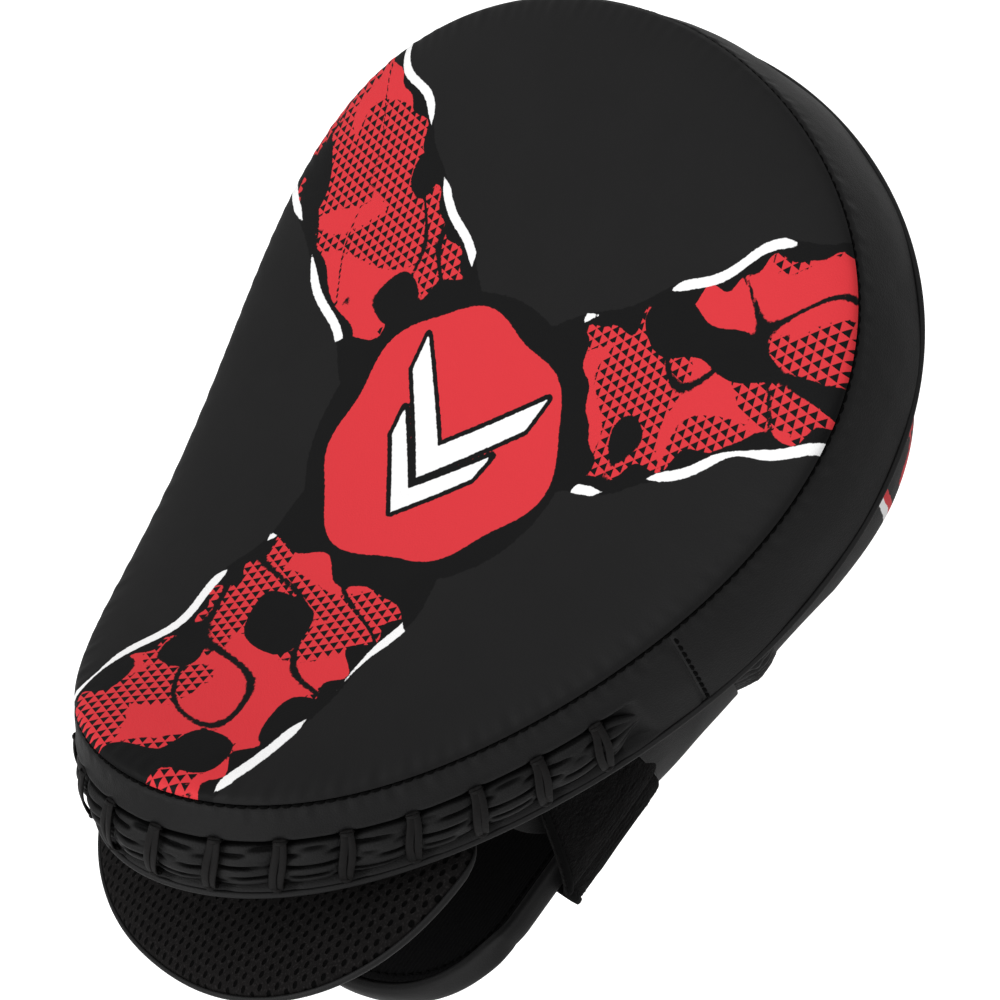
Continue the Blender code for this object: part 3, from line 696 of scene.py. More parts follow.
def mesh_look(name):
    """Warp-knit spacer mesh: staggered slots through a knitted face, the slots painted near black as the
    shade inside them.
    """
    look = Look(name)
    across, along = look.split(look.stretch(look.cloth(), (1 / SLOT_PITCH, 1 / SLOT_ROW, 1.0)))
    row = look.sums("FLOOR", along)
    staggered = look.sums("FRACT", look.sums("MULTIPLY_ADD", row, 0.5, across))
    across = look.sums("SUBTRACT", staggered, 0.5)
    along = look.sums("SUBTRACT", look.sums("FRACT", along), 0.5)
    wide = look.sums("POWER", look.sums("MULTIPLY", across, 5.2), 2.0)
    long = look.sums("POWER", look.sums("MULTIPLY", along, 3.0), 2.0)
    slot = look.step(look.sums("ADD", wide, long), 1.25, 0.55)
    knit_place = look.stretch(look.cloth(), (1.0, 0.55, 1.0))
    knit = look.noise(2100.0, detail=2.0, vector=knit_place)
    tone = look.patchy(120.0, MESH_BLACK, 0.75, 1.3)
    tone = look.mix(look.step(knit, 0.52, 0.70), tone, shade(MESH_BLACK, 2.4))
    # painted shade: the slots near black, for the shade down inside them
    tone = look.mix(slot, tone, (0.0008, 0.0008, 0.0008))
    height = look.sums("MULTIPLY_ADD", knit, 0.5, look.sums("MULTIPLY", slot, -1.6))
    return look.done(tone, 0.90, look.bump(height, 0.0005), 0.06, 0.0)


def lining_look(name):
    """Matt ribbed lining."""
    look = Look(name)
    across, _ = look.split(look.cloth())
    rib = look.sums("SINE", look.sums("MULTIPLY", across, 2 * pi / (1.5 * MM)))
    weave = look.noise(1500.0, detail=2.0)
    colour = look.mix(weave, (0.0022, 0.0021, 0.0022), (0.0052, 0.0050, 0.0054))
    colour = look.mix(look.step(rib, 0.2, 1.0, 0.0, 0.6), colour, (0.0040, 0.0040, 0.0044))
    height = look.sums("MULTIPLY_ADD", rib, 0.5, weave)
    return look.done(colour, 0.82, look.bump(height, 0.00016), 0.08)


def loop_look(name):
    """Brushed loop pile."""
    look = Look(name)
    pile = look.noise(900.0, detail=4.0, roughness=0.7)
    clump = look.noise(170.0, detail=3.0)
    colour = look.mix(clump, (0.0006, 0.0005, 0.0005), (0.0020, 0.0018, 0.0018))
    colour = look.mix(look.step(pile, 0.50, 0.74), colour, (0.0062, 0.0056, 0.0058))
    height = look.sums("MULTIPLY_ADD", clump, 1.4, pile)
    return look.done(colour, 0.95, look.bump(height, 0.0008), 0.05, 0.03)


def hook_look(name):
    """Hook tape: a woven ground under rows of stiff hooks."""
    look = Look(name)
    tone = look.mix(look.noise(900.0), (0.004, 0.004, 0.004), (0.016, 0.016, 0.017))
    return look.done(tone, 0.42, look.bump(look.cells(1400.0), 0.0002), 0.35)


def foam_look(name, colour, roughness):
    """Closed-cell foam or gel."""
    look = Look(name)
    tone = look.patchy(140.0, colour, 0.85, 1.1)
    return look.done(tone, roughness, look.bump(look.cells(700.0), 0.0003), 0.3)


def make_looks():
    """All the materials of the mitt by name."""
    return {
        "printed": printed_look("printed_leather"),
        "leather": leather_look("black_leather"),
        "gathered": gathered_look("gathered_leather"),
        "thread": thread_look("seam_thread", (0.0007, 0.0007, 0.0007)),
        "lace": lace_look("lace_cord"),
        "piping": leather_look("edge_binding", roughness=0.46, grain=0.8, specular=0.16),
        "hood": hood_printed_look("hood_leather_print"),
        "mesh": mesh_look("mesh_fabric"),
        "lining": lining_look("lining_fabric"),
        "loop": loop_look("loop_fabric"),
        "hook": hook_look("hook_tape"),
        "foam": foam_look("closed_cell_foam", (0.32, 0.32, 0.33), 0.9),
        "gel": foam_look("gel_sheet", (0.42, 0.05, 0.05), 0.35),
    }


# ---------------------------------------------------------------- print on the leather

# A plain design worked out by rule, in flat pattern millimetres: three bands that meet in a hub.
# Compass turn of each band from the finger end in degrees, its half width, and its seed.
BANDS = [(-54.0, 25.0, 11), (54.0, 25.0, 31), (180.0, 30.0, 51)]
BAND_WIDENING = 0.03
HUB_RADIUS = 46.0
HUB_INK_RADIUS = 40.0
LINE_HALF = 1.5
CRACK_HALF = 0.55
FAR = 20.0
# half width, height of the arm tips, height of the point and breadth of each chevron
CHEVRONS = [(26.0, 25.0, -2.0, 11.0), (19.0, 3.0, -17.0, 8.5)]


def wander(across, along, wavelength, seed):
    """Wandering value that differs on the two sides of a band."""
    return np.where(across > 0, ripple(along, wavelength, seed), ripple(along, wavelength, seed + 1))


def blotches(across, along, wavelength, seed):
    """Smooth patchy field over the plane, between about -2 and 2."""
    return ripple(along + 0.6 * across, wavelength, seed) + ripple(across - 0.7 * along, wavelength, seed + 1)


def band_fields(places, turn, half, seed):
    """Signed distances to the colours of one band, negative inside them."""
    turn = radians(turn)
    along = places @ np.array([sin(turn), cos(turn)])
    across = places @ np.array([cos(turn), -sin(turn)])
    gap = np.abs(across)
    edge = half + BAND_WIDENING * along + 2.5 * wander(across, along, 40.0, seed)
    ground = np.maximum(gap - edge, 10.0 - along)
    ink = gap - edge + 5.0 + 3.0 * wander(across, along, 17.0, seed + 2)
    islands = 6.0 * (blotches(across, along, 42.0, seed + 4) - 0.85)
    start = HUB_RADIUS + 3.0 + 4.0 * ripple(across, 20.0, seed + 6) - along
    line = LINE_HALF * (1.6 * smooth(-0.9, 0.1, wander(across, along, 52.0, seed + 8)) - 0.6)
    white = np.maximum(np.abs(gap - edge + 1.0) - line, start)
    cracks = 9.0 * np.abs(blotches(across, along, 60.0, seed + 10) + 0.3) - CRACK_HALF
    dots = 6.0 * (0.5 + blotches(across, along, 60.0, seed + 12))
    return ground, np.max([ink, islands, start, -cracks], axis=0), white, dots


def area_distance(points, corners):
    """Signed distance to a plain polygon, negative inside it."""
    ring = np.array(corners, float)
    gap = np.full(len(points), FAR)
    inside = np.zeros(len(points), bool)
    for first, second in zip(ring, np.roll(ring, -1, axis=0)):
        run = second - first
        share = np.clip((points - first) @ run / (run @ run), 0.0, 1.0)
        gap = np.minimum(gap, np.linalg.norm(points - first - share[:, None] * run, axis=1))
        if run[1]:
            crosses = (first[1] > points[:, 1]) != (second[1] > points[:, 1])
            where = first[0] + (points[:, 1] - first[1]) * run[0] / run[1]
            inside ^= crosses & (points[:, 0] < where)
    return np.where(inside, -gap, gap)


def mark_distance(points):
    """Signed distance to the plain chevrons in the middle of the hub."""
    areas = []
    for half, arm, point, breadth in CHEVRONS:
        corners = [(-half, arm), (0.0, point), (half, arm), (half - 1.5, arm - breadth),
                   (0.0, point - breadth), (-half + 1.5, arm - breadth)]
        areas.append(area_distance(points, corners))
    return np.min(areas, axis=0)


def print_fields(points):
    """Signed distances of flat pattern points to each colour of the print, in metres."""
    places = points / MM
    bands = [band_fields(places, *band) for band in BANDS]
    ground, red, white, dots = (np.min(parts, axis=0) for parts in zip(*bands))
    radius = np.linalg.norm(places, axis=1)
    turn = np.arctan2(places[:, 0], places[:, 1])
    hub_edge = 2.0 * np.sin(3 * turn + 0.6) + 1.4 * np.sin(7 * turn)
    mark = mark_distance(places)
    hub = np.maximum(radius - HUB_INK_RADIUS + hub_edge, 1.6 - np.abs(mark))
    fields = {
        "ground": np.minimum(ground, radius - HUB_RADIUS),
        "red": np.minimum(red, hub),
        "white": np.minimum(white, mark),
        "dots": np.where(radius < HUB_RADIUS, FAR, dots),
    }
    return {name: np.clip(values, -FAR, FAR) * MM for name, values in fields.items()}


# ---------------------------------------------------------------- striking pad

def crown(share):
    """Height of the padded face at a share of the way out to its seam."""
    return CROWN * np.maximum(1 - share ** 6, 0.0) ** 0.5


def spread_shares(count, power):
    """Shares from the middle to the edge, closer together towards the edge."""
    return 1 - (1 - np.linspace(0.02, 1.0, count)) ** power


def build_face(looks):
    """Crowned face cover, turned in at its seam, with the print on it."""
    angles = ring_angles(900)
    seam = outline(angles)
    away = outline_normal(angles)
    pucker = ripple(length_at(wrapped(angles)), 7.0 * MM, 3) * 0.08 * MM
    layers = []
    for share in spread_shares(112, 1.06):
        near = smooth(0.93, 0.985, share) * (1 - smooth(0.99, 1.0, share))
        layers.append((seam * share + away * (pucker * near)[:, None], crown(share) + pucker * near * 1.5))
    for tuck, h in ((0.4 * MM, -0.5 * MM), (1.8 * MM, -0.9 * MM)):
        layers.append((seam - away * tuck, h))
    knots = np.array((0.0, 0.45, 0.8, 0.94, 1.0))
    for share in (0.985, 0.94, 0.8, 0.6, 0.45, 0.3, 0.15, 0.02):
        layers.append((seam * share, np.interp(share, knots, crown(knots)) - SKIN))
    rows = np.array([bend(*plan.T, h) for plan, h in layers])
    flat = np.concatenate([plan for plan, _ in layers] + [np.zeros((2, 2))])
    item = piece("pad_face", *closed_rows(rows), looks["printed"])
    for name, values in print_fields(flat).items():
        paint(item, name, values)
    lay_out(item, flat[:, 0], flat[:, 1])
    settle(item, "root", "printed_leather", "face_cover")


def build_layers(looks):
    """Foam and gel inside the pad, as soft-edged plates."""
    angles = ring_angles(160)
    plan = outline(angles) - outline_normal(angles) * 6.2 * MM
    domed = (0.02, 0.15, 0.3, 0.45, 0.6, 0.8, 0.9, 0.96, 0.99)
    level = (0.99, 0.9, 0.75, 0.6, 0.45, 0.3, 0.15, 0.02)
    for node, look, top, bottom in (("face_foam", "foam", None, -6.0), ("gel_sheet", "gel", -6.4, -10.4),
                                    ("core_foam", "foam", -10.8, -19.8), ("base_foam", "foam", -20.2, -31.4)):
        if top is None:
            levels = [(share, crown(share * 0.98) * 0.8 - SKIN - 1.4 * MM) for share in domed]
            levels.append((1.0, bottom * MM))
        else:
            levels = [(share, top * MM) for share in domed]
            levels.append((1.0, (top + bottom) / 2 * MM))
        levels += [(share, bottom * MM) for share in level]
        settle(slab(node + "_layer", plan, levels, looks[look]), "root", look, node)


def build_back_panel(looks):
    """Leather back of the pad."""
    angles = ring_angles(480)
    away = outline_normal(angles) * (wall_flare(angles) - 2.4 * MM)[:, None]
    levels = [(share, BACK_TOP) for share in (0.02, 0.15, 0.3, 0.45, 0.6, 0.75, 0.85, 0.95, 0.99)]
    levels += [(1.0, (BACK_TOP + BACK_BOTTOM) / 2), (0.993, BACK_BOTTOM)]
    levels += [(share, BACK_BOTTOM) for share in np.linspace(0.97, 0.02, 26)]
    item = slab("back_panel_leather", outline(angles) * BACK_SCALE + away, levels, looks["leather"])
    settle(item, "root", "black_leather", "back_panel")


def seam_angle(h):
    """Outline angle of the upright join at a height."""
    return SEAM_ANGLE - SEAM_LEAN * h / WALL_BOTTOM


def wall_profile():
    """Heights down the side wall and how far it is turned in at its sewn edges."""
    heights = [-0.9, -1.0, -1.5, -2.4, -3.4, *np.linspace(-4.6, -30.0, 34), -31.0, -31.8, -32.2]
    heights = np.array(heights) * MM
    tuck = 1.7 * MM * (1 - smooth(0.9 * MM, 2.8 * MM, -heights)) ** 1.5
    tuck = tuck + 0.9 * MM * smooth(30.8 * MM, 32.2 * MM, -heights)
    return heights, tuck


def strip_reach(distance):
    """1 where the gathered strip is, fading to 0 past its ends."""
    half = LACE_PITCH * (LACE_BARS // 2)
    return 1 - smooth(half + 6.0 * MM, half + 13.0 * MM, np.abs(distance))


def bell(value, middle, width):
    """1 at the middle, falling to 0 a few widths away."""
    return np.exp(-((value - middle) / width) ** 2)


def strip_relief(h, distance):
    """How far the wall stands out or is drawn in behind the gathered strip and at the lace holes."""
    groove = smooth(-11.8 * MM, -13.6 * MM, h) * smooth(-30.4 * MM, -28.8 * MM, h)
    drawn = 0.5 + 0.5 * np.cos(2 * pi * distance / LACE_PITCH)
    dimple = bell(h, LACE_TOP, 1.6 * MM) + bell(h, LACE_BOTTOM, 1.4 * MM)
    lips = bell(h, -11.0 * MM, 1.3 * MM) + bell(h, -30.7 * MM, 0.8 * MM)
    depth = lips * 0.35 * MM - dimple * drawn ** 6 * 0.9 * MM - groove * 2.4 * MM
    return depth * strip_reach(distance)


def build_side_wall(looks):
    """The two lengths of side wall, drawn in at the seams and behind the gathered strip."""
    heights, tuck = wall_profile()
    h = heights[:, None]
    for name, node, cols in (("side_wall_wrist", "gusset_narrow", 640),
                             ("side_wall_fingers", "gusset_wide", 620)):
        share = np.linspace(-1.0, 1.0, cols)[None]
        at_wrist = node == "gusset_narrow"
        edge = seam_angle(h) + (-JOIN_GAP if at_wrist else JOIN_GAP)
        angle = share * edge if at_wrist else pi + share * (pi - edge)
        distance = length_at(wrapped(angle))
        to_join = np.abs(np.abs(distance) - length_at(edge))
        out = -tuck[:, None] - 0.6 * MM * (1 - smooth(0.0, 1.6 * MM, to_join))
        out = out + ripple(distance + h * 0.4, 60.0 * MM, 11) * 0.28 * MM
        out = out + ripple(distance, 6.5 * MM, 5) * 0.20 * MM * bell(h, -3.4 * MM, 2.2 * MM)
        if at_wrist:
            out = out + strip_relief(h, distance)
        item = lined_sheet(name, wall(angle, h, out), wall(angle, h, out - 1.2 * MM), looks["leather"])
        settle(item, "root", "black_leather", node)


def build_wall_stitches(looks):
    """Thread along the face seam and beside the upright joins."""
    angles = np.linspace(-pi, pi, 2400)
    parts = stitch_parts(*wall_path(angles, -1.1 * MM, -0.55 * MM), 3.0 * MM, 2.3 * MM, 0.50 * MM)
    h = np.linspace(-2.6, -31.2, 60) * MM
    for side in (-1, 1):
        angle = side * (seam_angle(h) + JOIN_TO_STITCHES)
        parts += stitch_parts(*wall_path(angle, h, 0.02 * MM), 2.9 * MM, 2.1 * MM, 0.52 * MM)
    settle(piece("wall_stitches", *merge(parts), looks["thread"]), "root", "lace_cord")


def build_gathered_strip(looks):
    """Gathered strip under the lace: a low puff between bars, pinched flat beneath each bar."""
    half = LACE_PITCH * (LACE_BARS // 2) + 12.0 * MM
    distance = np.linspace(-half, half, 1100)[None]
    share = np.linspace(0.0, 1.0, 52)[:, None]
    cell = np.floor(distance / LACE_PITCH)
    phase = distance / LACE_PITCH - cell
    random = np.random.default_rng(17)
    table = random.uniform(0.0, 1.0, (LACE_BARS + 5, 4))
    row = (cell + LACE_BARS // 2 + 2).astype(int)
    first, second, third, fourth = (table[row, k] for k in range(4))
    puff = np.sin(pi * phase) ** 0.5
    full = np.sin(pi * share) ** 0.45
    arc = 0.34 * (1 - (2 * phase - 1) ** 2) * (share - 0.5) * 2
    swing = 0.16 * np.sin(2 * pi * (phase * 0.8 + first))
    folds = np.sin(2 * pi * (share * 2.6 + arc + swing + second))
    folds = folds + 0.7 * np.sin(2 * pi * (share * 4.3 - swing + phase * (third - 0.5) + fourth))
    valley = -np.maximum(-folds - 0.10, 0.0) ** 1.1 * 1.15 * MM    # creases go in, ridges come out
    ridge = np.maximum(folds, 0.0) ** 0.8 * 0.22 * MM
    fade = 1 - smooth(half - 11.0 * MM, half, np.abs(distance))
    out = (-1.1 + 2.5 * puff * full) * MM + (valley + ridge) * (0.3 + 0.7 * puff) * full
    out = out * fade - 1.3 * MM * (1 - fade)
    sag = np.sin(pi * phase) ** 0.7 * fade
    top = STRIP_TOP + 1.3 * MM * sag - 1.2 * MM
    bottom = STRIP_BOTTOM - 1.1 * MM * sag + 1.0 * MM
    pinch = 5.0 * MM * (1 - fade)
    h = (top - pinch) + (bottom - top + 2 * pinch) * share
    angle = angle_at(distance - LACE_SLANT * share)
    points = wall(angle, h, out)
    back = wall(angle, h, np.minimum(out - 0.7 * MM, -1.9 * MM))
    item = lined_sheet("gathered_strip", points, back, looks["gathered"])
    # Painted shade: how dark the strip is painted in the valleys of its folds and along its tucked top and
    # bottom edges.
    depth = np.clip(-valley / (0.8 * MM), 0.0, 1.0) * fade
    rim = (1 - smooth(0.0, 0.07, share)) + smooth(0.93, 1.0, share)
    depth = np.clip(depth + rim, 0.0, 1.0) * fade ** 2
    paint(item, "crease_shade", np.concatenate([depth.ravel(), depth.ravel()]))
    settle(item, "root", "gathered_leather", "lacing_strip")


def lace_strand(distance, offset, seed):
    """Path of one strand of a bar, as world points and outward directions."""
    random = np.random.default_rng(seed)
    sway = random.uniform(-0.3, 0.3) * MM
    # share of the way down, height and distance out of the wall in millimetres
    knots = [(0.0, 0.3, -1.6), (0.0, 0.8, 0.0), (0.0, -0.4, 0.8), (0.08, -2.4, 1.2), (0.30, -5.6, 1.6),
             (0.52, -8.6, 1.7), (0.74, -11.6, 1.6), (0.94, -15.2, 1.2), (1.0, -17.0, 0.7),
             (1.0, -17.7, -0.2), (1.0, -17.2, -1.6)]
    path = resample(soften(knots), 34)
    spread = 1.0 - 0.35 * np.abs(2 * path[:, 0] - 1) ** 2
    place = distance - LACE_SLANT * path[:, 0] + offset * spread + sway * np.sin(pi * path[:, 0])
    return wall_path(angle_at(place), LACE_TOP + path[:, 1] * MM, path[:, 2] * MM)


def build_lace(looks):
    """Flat lace: two strands over each bar, with a small turned loop at its head and foot."""
    parts = []
    for bar in range(LACE_BARS):
        distance = (bar - LACE_BARS // 2) * LACE_PITCH
        for index, offset in enumerate((-1.08 * MM, 1.08 * MM)):
            path = lace_strand(distance, offset, 100 + 2 * bar + index)
            parts.append(sweep(*path, 1.12 * MM, 0.38 * MM, steps=10, power=3.2))
        for end, h in ((0.0, LACE_TOP - 0.2 * MM), (1.0, LACE_BOTTOM + 0.2 * MM)):
            turn = np.linspace(-0.15, pi + 0.15, 12)
            middle = distance - LACE_SLANT * end
            reach = (1.5 - 0.2 * end) * MM
            rise = h + 0.5 * MM * np.sin(turn) * (1 - 2 * end)
            out = (-0.2 + 1.3 * np.sin(turn)) * MM
            path = wall_path(angle_at(middle + np.cos(turn) * reach), rise, out)
            parts.append(sweep(*path, 0.62 * MM, 0.40 * MM))
    item = piece("wrist_lacing", *merge(parts), looks["lace"])
    settle(item, "root", "lace_cord", "wrist_lace")


def build_rim(looks):
    """Bound edge round the back of the pad."""
    angles = np.linspace(-pi, pi, 900, endpoint=False)
    away = outline_normal(angles) * (wall_flare(angles) - 0.5 * MM)[:, None]
    plan = outline(angles) * BACK_SCALE + away
    centres = bend(*plan.T, PIPING_H)
    up = unit(bend(*plan.T, PIPING_H + MM) - centres)
    cord = sweep(centres, up, 0.95 * MM, 1.05 * MM, steps=10, closed=True)
    settle(piece("pad_piping", *cord, looks["piping"]), "root", "piping", "rim_piping")


# ---------------------------------------------------------------- hand compartment

def corner(share):
    """Shares of half width and depth down the rounded side of a section, 0 at the pad."""
    turn = share * pi / 2
    return FLAT_SHARE + (1 - FLAT_SHARE) * np.cos(turn), np.sin(turn)


def hood_surface(inset, puff=0.0):
    """Section by section grid of the hood, from its mouth to the finger end."""
    turn = np.linspace(0.0, pi / 2, 59)
    straight_y = np.linspace(HOOD_MOUTH_Y, HOOD_CENTRE_Y, 10, endpoint=False)
    y = HOOD_CENTRE_Y + np.sin(turn) ** 0.85 * (HOOD_END_Y - HOOD_CENTRE_Y - inset)
    y = np.concatenate([straight_y, y])
    straight = np.interp(straight_y, (HOOD_MOUTH_Y, HOOD_CENTRE_Y), (HOOD_MOUTH_WIDTH, HOOD_WIDTH))
    width = np.concatenate([straight - inset, np.cos(turn) ** 0.50 * (HOOD_WIDTH - inset)])
    floor = FLOOR_Z + inset
    grid = []
    shares = np.linspace(0.0, 1.0, HOOD_WALL_COLS)
    width_share, depth_share = corner(shares)
    for half, place in zip(width, y):
        beyond = max(place - HOOD_CENTRE_Y, 0.0)
        pulled = place + beyond * (width_share - 1)
        top = underside(pulled)
        z = top + (floor - top) * depth_share
        swell = HOOD_SWELL * puff * np.sin(pi * shares) ** 0.8 * smooth(HOOD_MOUTH_Y, 72.0 * MM, place)
        ahead = beyond / (HOOD_END_Y - HOOD_CENTRE_Y)
        x = half * width_share + swell * (1 - ahead ** 4)
        side = np.stack([x, pulled + swell * ahead, z], -1)
        x = np.linspace(1.0, -1.0, HOOD_FLAT_COLS + 2)[1:-1] * half * FLAT_SHARE
        pillow = 0.8 * MM * puff * (1 - (x / (HOOD_WIDTH * FLAT_SHARE)) ** 2)
        flat = np.stack([x, np.full_like(x, pulled[-1]), floor - pillow], -1)
        grid.append(np.concatenate([side, flat, side[::-1] * (-1, 1, 1)]))
    return np.array(grid)


def tail_surface(inset, mouth_row):
    """Flat part of the hood between its mouth and the wrist edge, matching the mouth's columns."""
    flat = mouth_row[HOOD_WALL_COLS - 1:HOOD_WALL_COLS + HOOD_FLAT_COLS + 1]
    grid = []
    for share in np.linspace(0.0, 1.0, 18)[1:]:
        moved = flat.copy()
        moved[:, 0] *= 1 + (TAIL_SHARE - 1) * share
        moved[:, 1] = HOOD_MOUTH_Y + (WRIST_EDGE_Y - HOOD_MOUTH_Y) * share
        moved[:, 2] += (FLOOR_Z + inset - moved[:, 2]) * share
        grid.append(moved)
    return np.array(grid)


def hood_mesh(inset, puff=0.0):
    """Points, faces and edge loop of one side of the hood."""
    rows = hood_surface(inset, puff)
    tail = tail_surface(inset, rows[0])
    cols = rows.shape[1]
    points = np.concatenate([rows.reshape(-1, 3), tail.reshape(-1, 3)])
    faces = quads(rows.shape[0], cols)
    start = rows.shape[0] * cols
    width = tail.shape[1]
    first = HOOD_WALL_COLS - 1
    for j in range(width - 1):
        faces.append([start + j, start + j + 1, first + j + 1, first + j])
    faces += [[i + start for i in face] for face in quads(tail.shape[0], width)]
    loop = list(range(0, HOOD_WALL_COLS))
    loop += [start + i * width for i in range(tail.shape[0])]
    last = start + (tail.shape[0] - 1) * width
    loop += [last + j for j in range(1, width)]
    loop += [start + i * width + width - 1 for i in range(tail.shape[0] - 2, -1, -1)]
    loop += list(range(HOOD_WALL_COLS + HOOD_FLAT_COLS, cols))
    loop += [i * cols + cols - 1 for i in range(1, rows.shape[0])]
    loop += [i * cols for i in range(rows.shape[0] - 1, 0, -1)]
    return points, faces, loop


def hood_layer(name, outside, inside, puff, look):
    """Closed layer of the hood between two insets."""
    outer, faces, loop = hood_mesh(outside, puff)
    inner, _, _ = hood_mesh(inside)
    size = len(outer)
    both = faces + [[i + size for i in reversed(face)] for face in faces]
    for first, second in zip(loop, loop[1:] + loop[:1]):
        both.append([first, second, second + size, first + size])
    item = piece(name, np.concatenate([outer, inner]), both, look, SHARP_ANGLE)
    shape = bmesh.new()
    shape.from_mesh(item.data)
    bmesh.ops.remove_doubles(shape, verts=shape.verts, dist=0.01 * MM)
    bmesh.ops.recalc_face_normals(shape, faces=shape.faces)
    shape.to_mesh(item.data)
    shape.free()
    return item


def build_hood(looks):
    """Padded hood over the hand: leather outside with print at the finger end, lining inside."""
    leather_depth = HOOD_THICKNESS - HOOD_LINING - 0.1 * MM
    leather = hood_layer("hood_leather", 0.0, leather_depth, 1.0, looks["hood"])
    settle(leather, "root", "printed_leather", "hood_shell", "hood_padding")
    cloth = hood_layer("hood_lining_cloth", HOOD_THICKNESS - HOOD_LINING, HOOD_THICKNESS, 0.0,
                       looks["lining"])
    places = vertex_places(cloth.data)
    lay_out(cloth, places[:, 0], places[:, 1])
    settle(cloth, "root", "lining_fabric", "hood_lining")


def band_of(look, value, low, high):
    """1 between two values."""
    crisp = 0.2 * MM
    above = look.step(value, low - crisp, low)
    return look.sums("MULTIPLY", above, look.step(value, high + crisp, high))


def hood_printed_look(name):
    """Hood leather with a broken red band and a white line across its finger side."""
    look = Look(name)
    y = look.split(look.place)[1]
    ragged = look.sums("MULTIPLY_ADD", look.noise(160.0, detail=5.0, roughness=0.7), 7.0 * MM, -3.5 * MM)
    place = look.sums("ADD", y, ragged)
    line = look.sums("MULTIPLY_ADD", ragged, 0.3, y)
    base = look.patchy(30.0, LEATHER_BLACK, 0.8, 1.15)
    colour = look.mix(band_of(look, line, 60.0 * MM, 104.0 * MM), base, PRINT_BLACK)
    patch = look.step(look.noise(55.0, detail=5.0, roughness=0.6), 0.56, 0.565)
    ink = look.mix(patch, PRINT_RED, PRINT_BLACK)
    colour = look.mix(band_of(look, place, 70.0 * MM, 100.0 * MM), colour, ink)
    colour = look.mix(band_of(look, line, 61.0 * MM, 64.0 * MM), colour, PRINT_RED)
    colour = look.mix(band_of(look, line, 58.8 * MM, 61.4 * MM), colour, PRINT_WHITE)
    return leather_finish(look, colour, 0.50, 1.0, 0.12)


def side_section(side, y, width, share, out):
    """Points of a side wall of the compartment at world y, share down its section."""
    width_share, depth_share = corner(share)
    top = underside(y)
    x = width * width_share + out * np.cos(share * pi / 2)
    z = top + (FLOOR_Z - top) * depth_share - out * np.sin(share * pi / 2)
    return np.stack(np.broadcast_arrays(side * x, y, z), -1)


def build_side_walls(looks):
    """Leather sides at the wrist and ruched elastic between them and the hood."""
    share = np.linspace(-0.02, 0.97, 60)[:, None]
    for side, word in ((1, "right"), (-1, "left")):
        y = np.linspace(WRIST_EDGE_Y, -5.0 * MM, 40)[None]
        width = np.interp(y, (WRIST_EDGE_Y, -21.5 * MM, -5.0 * MM), (67.5 * MM, 70.7 * MM, 73.5 * MM))
        out = 0.5 * MM * np.sin(pi * np.clip(share, 0, 1))
        out = out + 0.2 * MM * ripple(share * 60 * MM + y, 30 * MM, 7)
        points = side_section(side, y, width, share, out)
        item = sheet("wrist_side_" + word, points, -side * 1.5 * MM, looks["leather"])
        settle(item, "root", "black_leather", "side_wall_" + word)

        y = np.linspace(-5.6 * MM, HOOD_MOUTH_Y + 0.4 * MM, 110)[None]
        width = np.interp(y, (-5.0 * MM, 2.5 * MM, HOOD_MOUTH_Y), (73.5 * MM, 77.5 * MM, HOOD_MOUTH_WIDTH))
        share_e = np.linspace(0.0, 0.97, 150)[:, None]
        middle = np.sin(pi * np.clip((y + 5.6 * MM) / (HOOD_MOUTH_Y + 6.0 * MM), 0, 1))
        down = share_e * 100 * MM
        gather = np.sin(2 * pi * (down / (4.2 * MM)) + 1.4 * ripple(y, 9 * MM, 31) + ripple(down, 20 * MM, 8))
        gather = gather * 0.85 * MM + ripple(down + y * 0.6, 5.0 * MM, 23) * 0.35 * MM
        out = middle * (1.2 * MM + 0.8 * gather) - 0.6 * MM
        points = side_section(side, y, width, share_e, out)
        item = sheet("elastic_gather_" + word, points, -side * 0.9 * MM, looks["gathered"])
        settle(item, "root", "gathered_leather", "elastic_" + word)


def build_palm_ball(looks):
    """Padded leather dome under the palm, sewn from four gores."""
    centre_y = 10.0 * MM
    radius = 31.0 * MM
    height = 21.0 * MM
    steps = 160
    angles = ring_angles(steps)
    valley = np.abs(np.sin(2 * angles))
    rows = []
    for share in np.concatenate([np.linspace(0.04, 0.96, 34), [0.985, 1.0]]):
        sunk = 0.9 * MM * np.exp(-(valley * share * radius / (1.1 * MM) / 2) ** 2)
        x = np.cos(angles) * share * radius
        y = centre_y + np.sin(angles) * share * radius
        rise = height * (1 - share ** 3) ** 0.5 - sunk * (1 - smooth(0.9, 1.0, share))
        rows.append(np.stack([x, y, underside(y) - rise], -1))
    rows = rows[::-1]
    cap = rows[0].copy()
    cap[:, :2] = (cap[:, :2] - (0.0, centre_y)) * 0.5 + (0.0, centre_y)
    cap[:, 2] = underside(cap[:, 1])
    rows = [cap] + rows
    points, faces = closed_rows(np.array(rows))
    item = piece("palm_ball_leather", points, faces, looks["leather"])
    index = np.arange(len(points))
    sewn = (index < 3 * steps) | (index % (steps // 4) == 0) | (index == len(points) - 2)
    inflate(item, index[sewn], 8.0, 1.5 * MM)
    settle(item, "root", "black_leather", "palm_ball_cover", "palm_ball_foam")


# ---------------------------------------------------------------- wrist cushion

def lobe(angle, half_width, front, back, centre_y, powers):
    """Plan of a rounded flap: blunt towards -Y, squarer towards its sewn edge at +Y."""
    across, along = np.cos(angle), np.sin(angle)
    reach = np.where(along > 0, back, front)
    power = np.where(along > 0, powers[1], powers[0])
    x = superpower(across, 2 / power) * half_width
    return x, centre_y + superpower(along, 2 / power) * reach


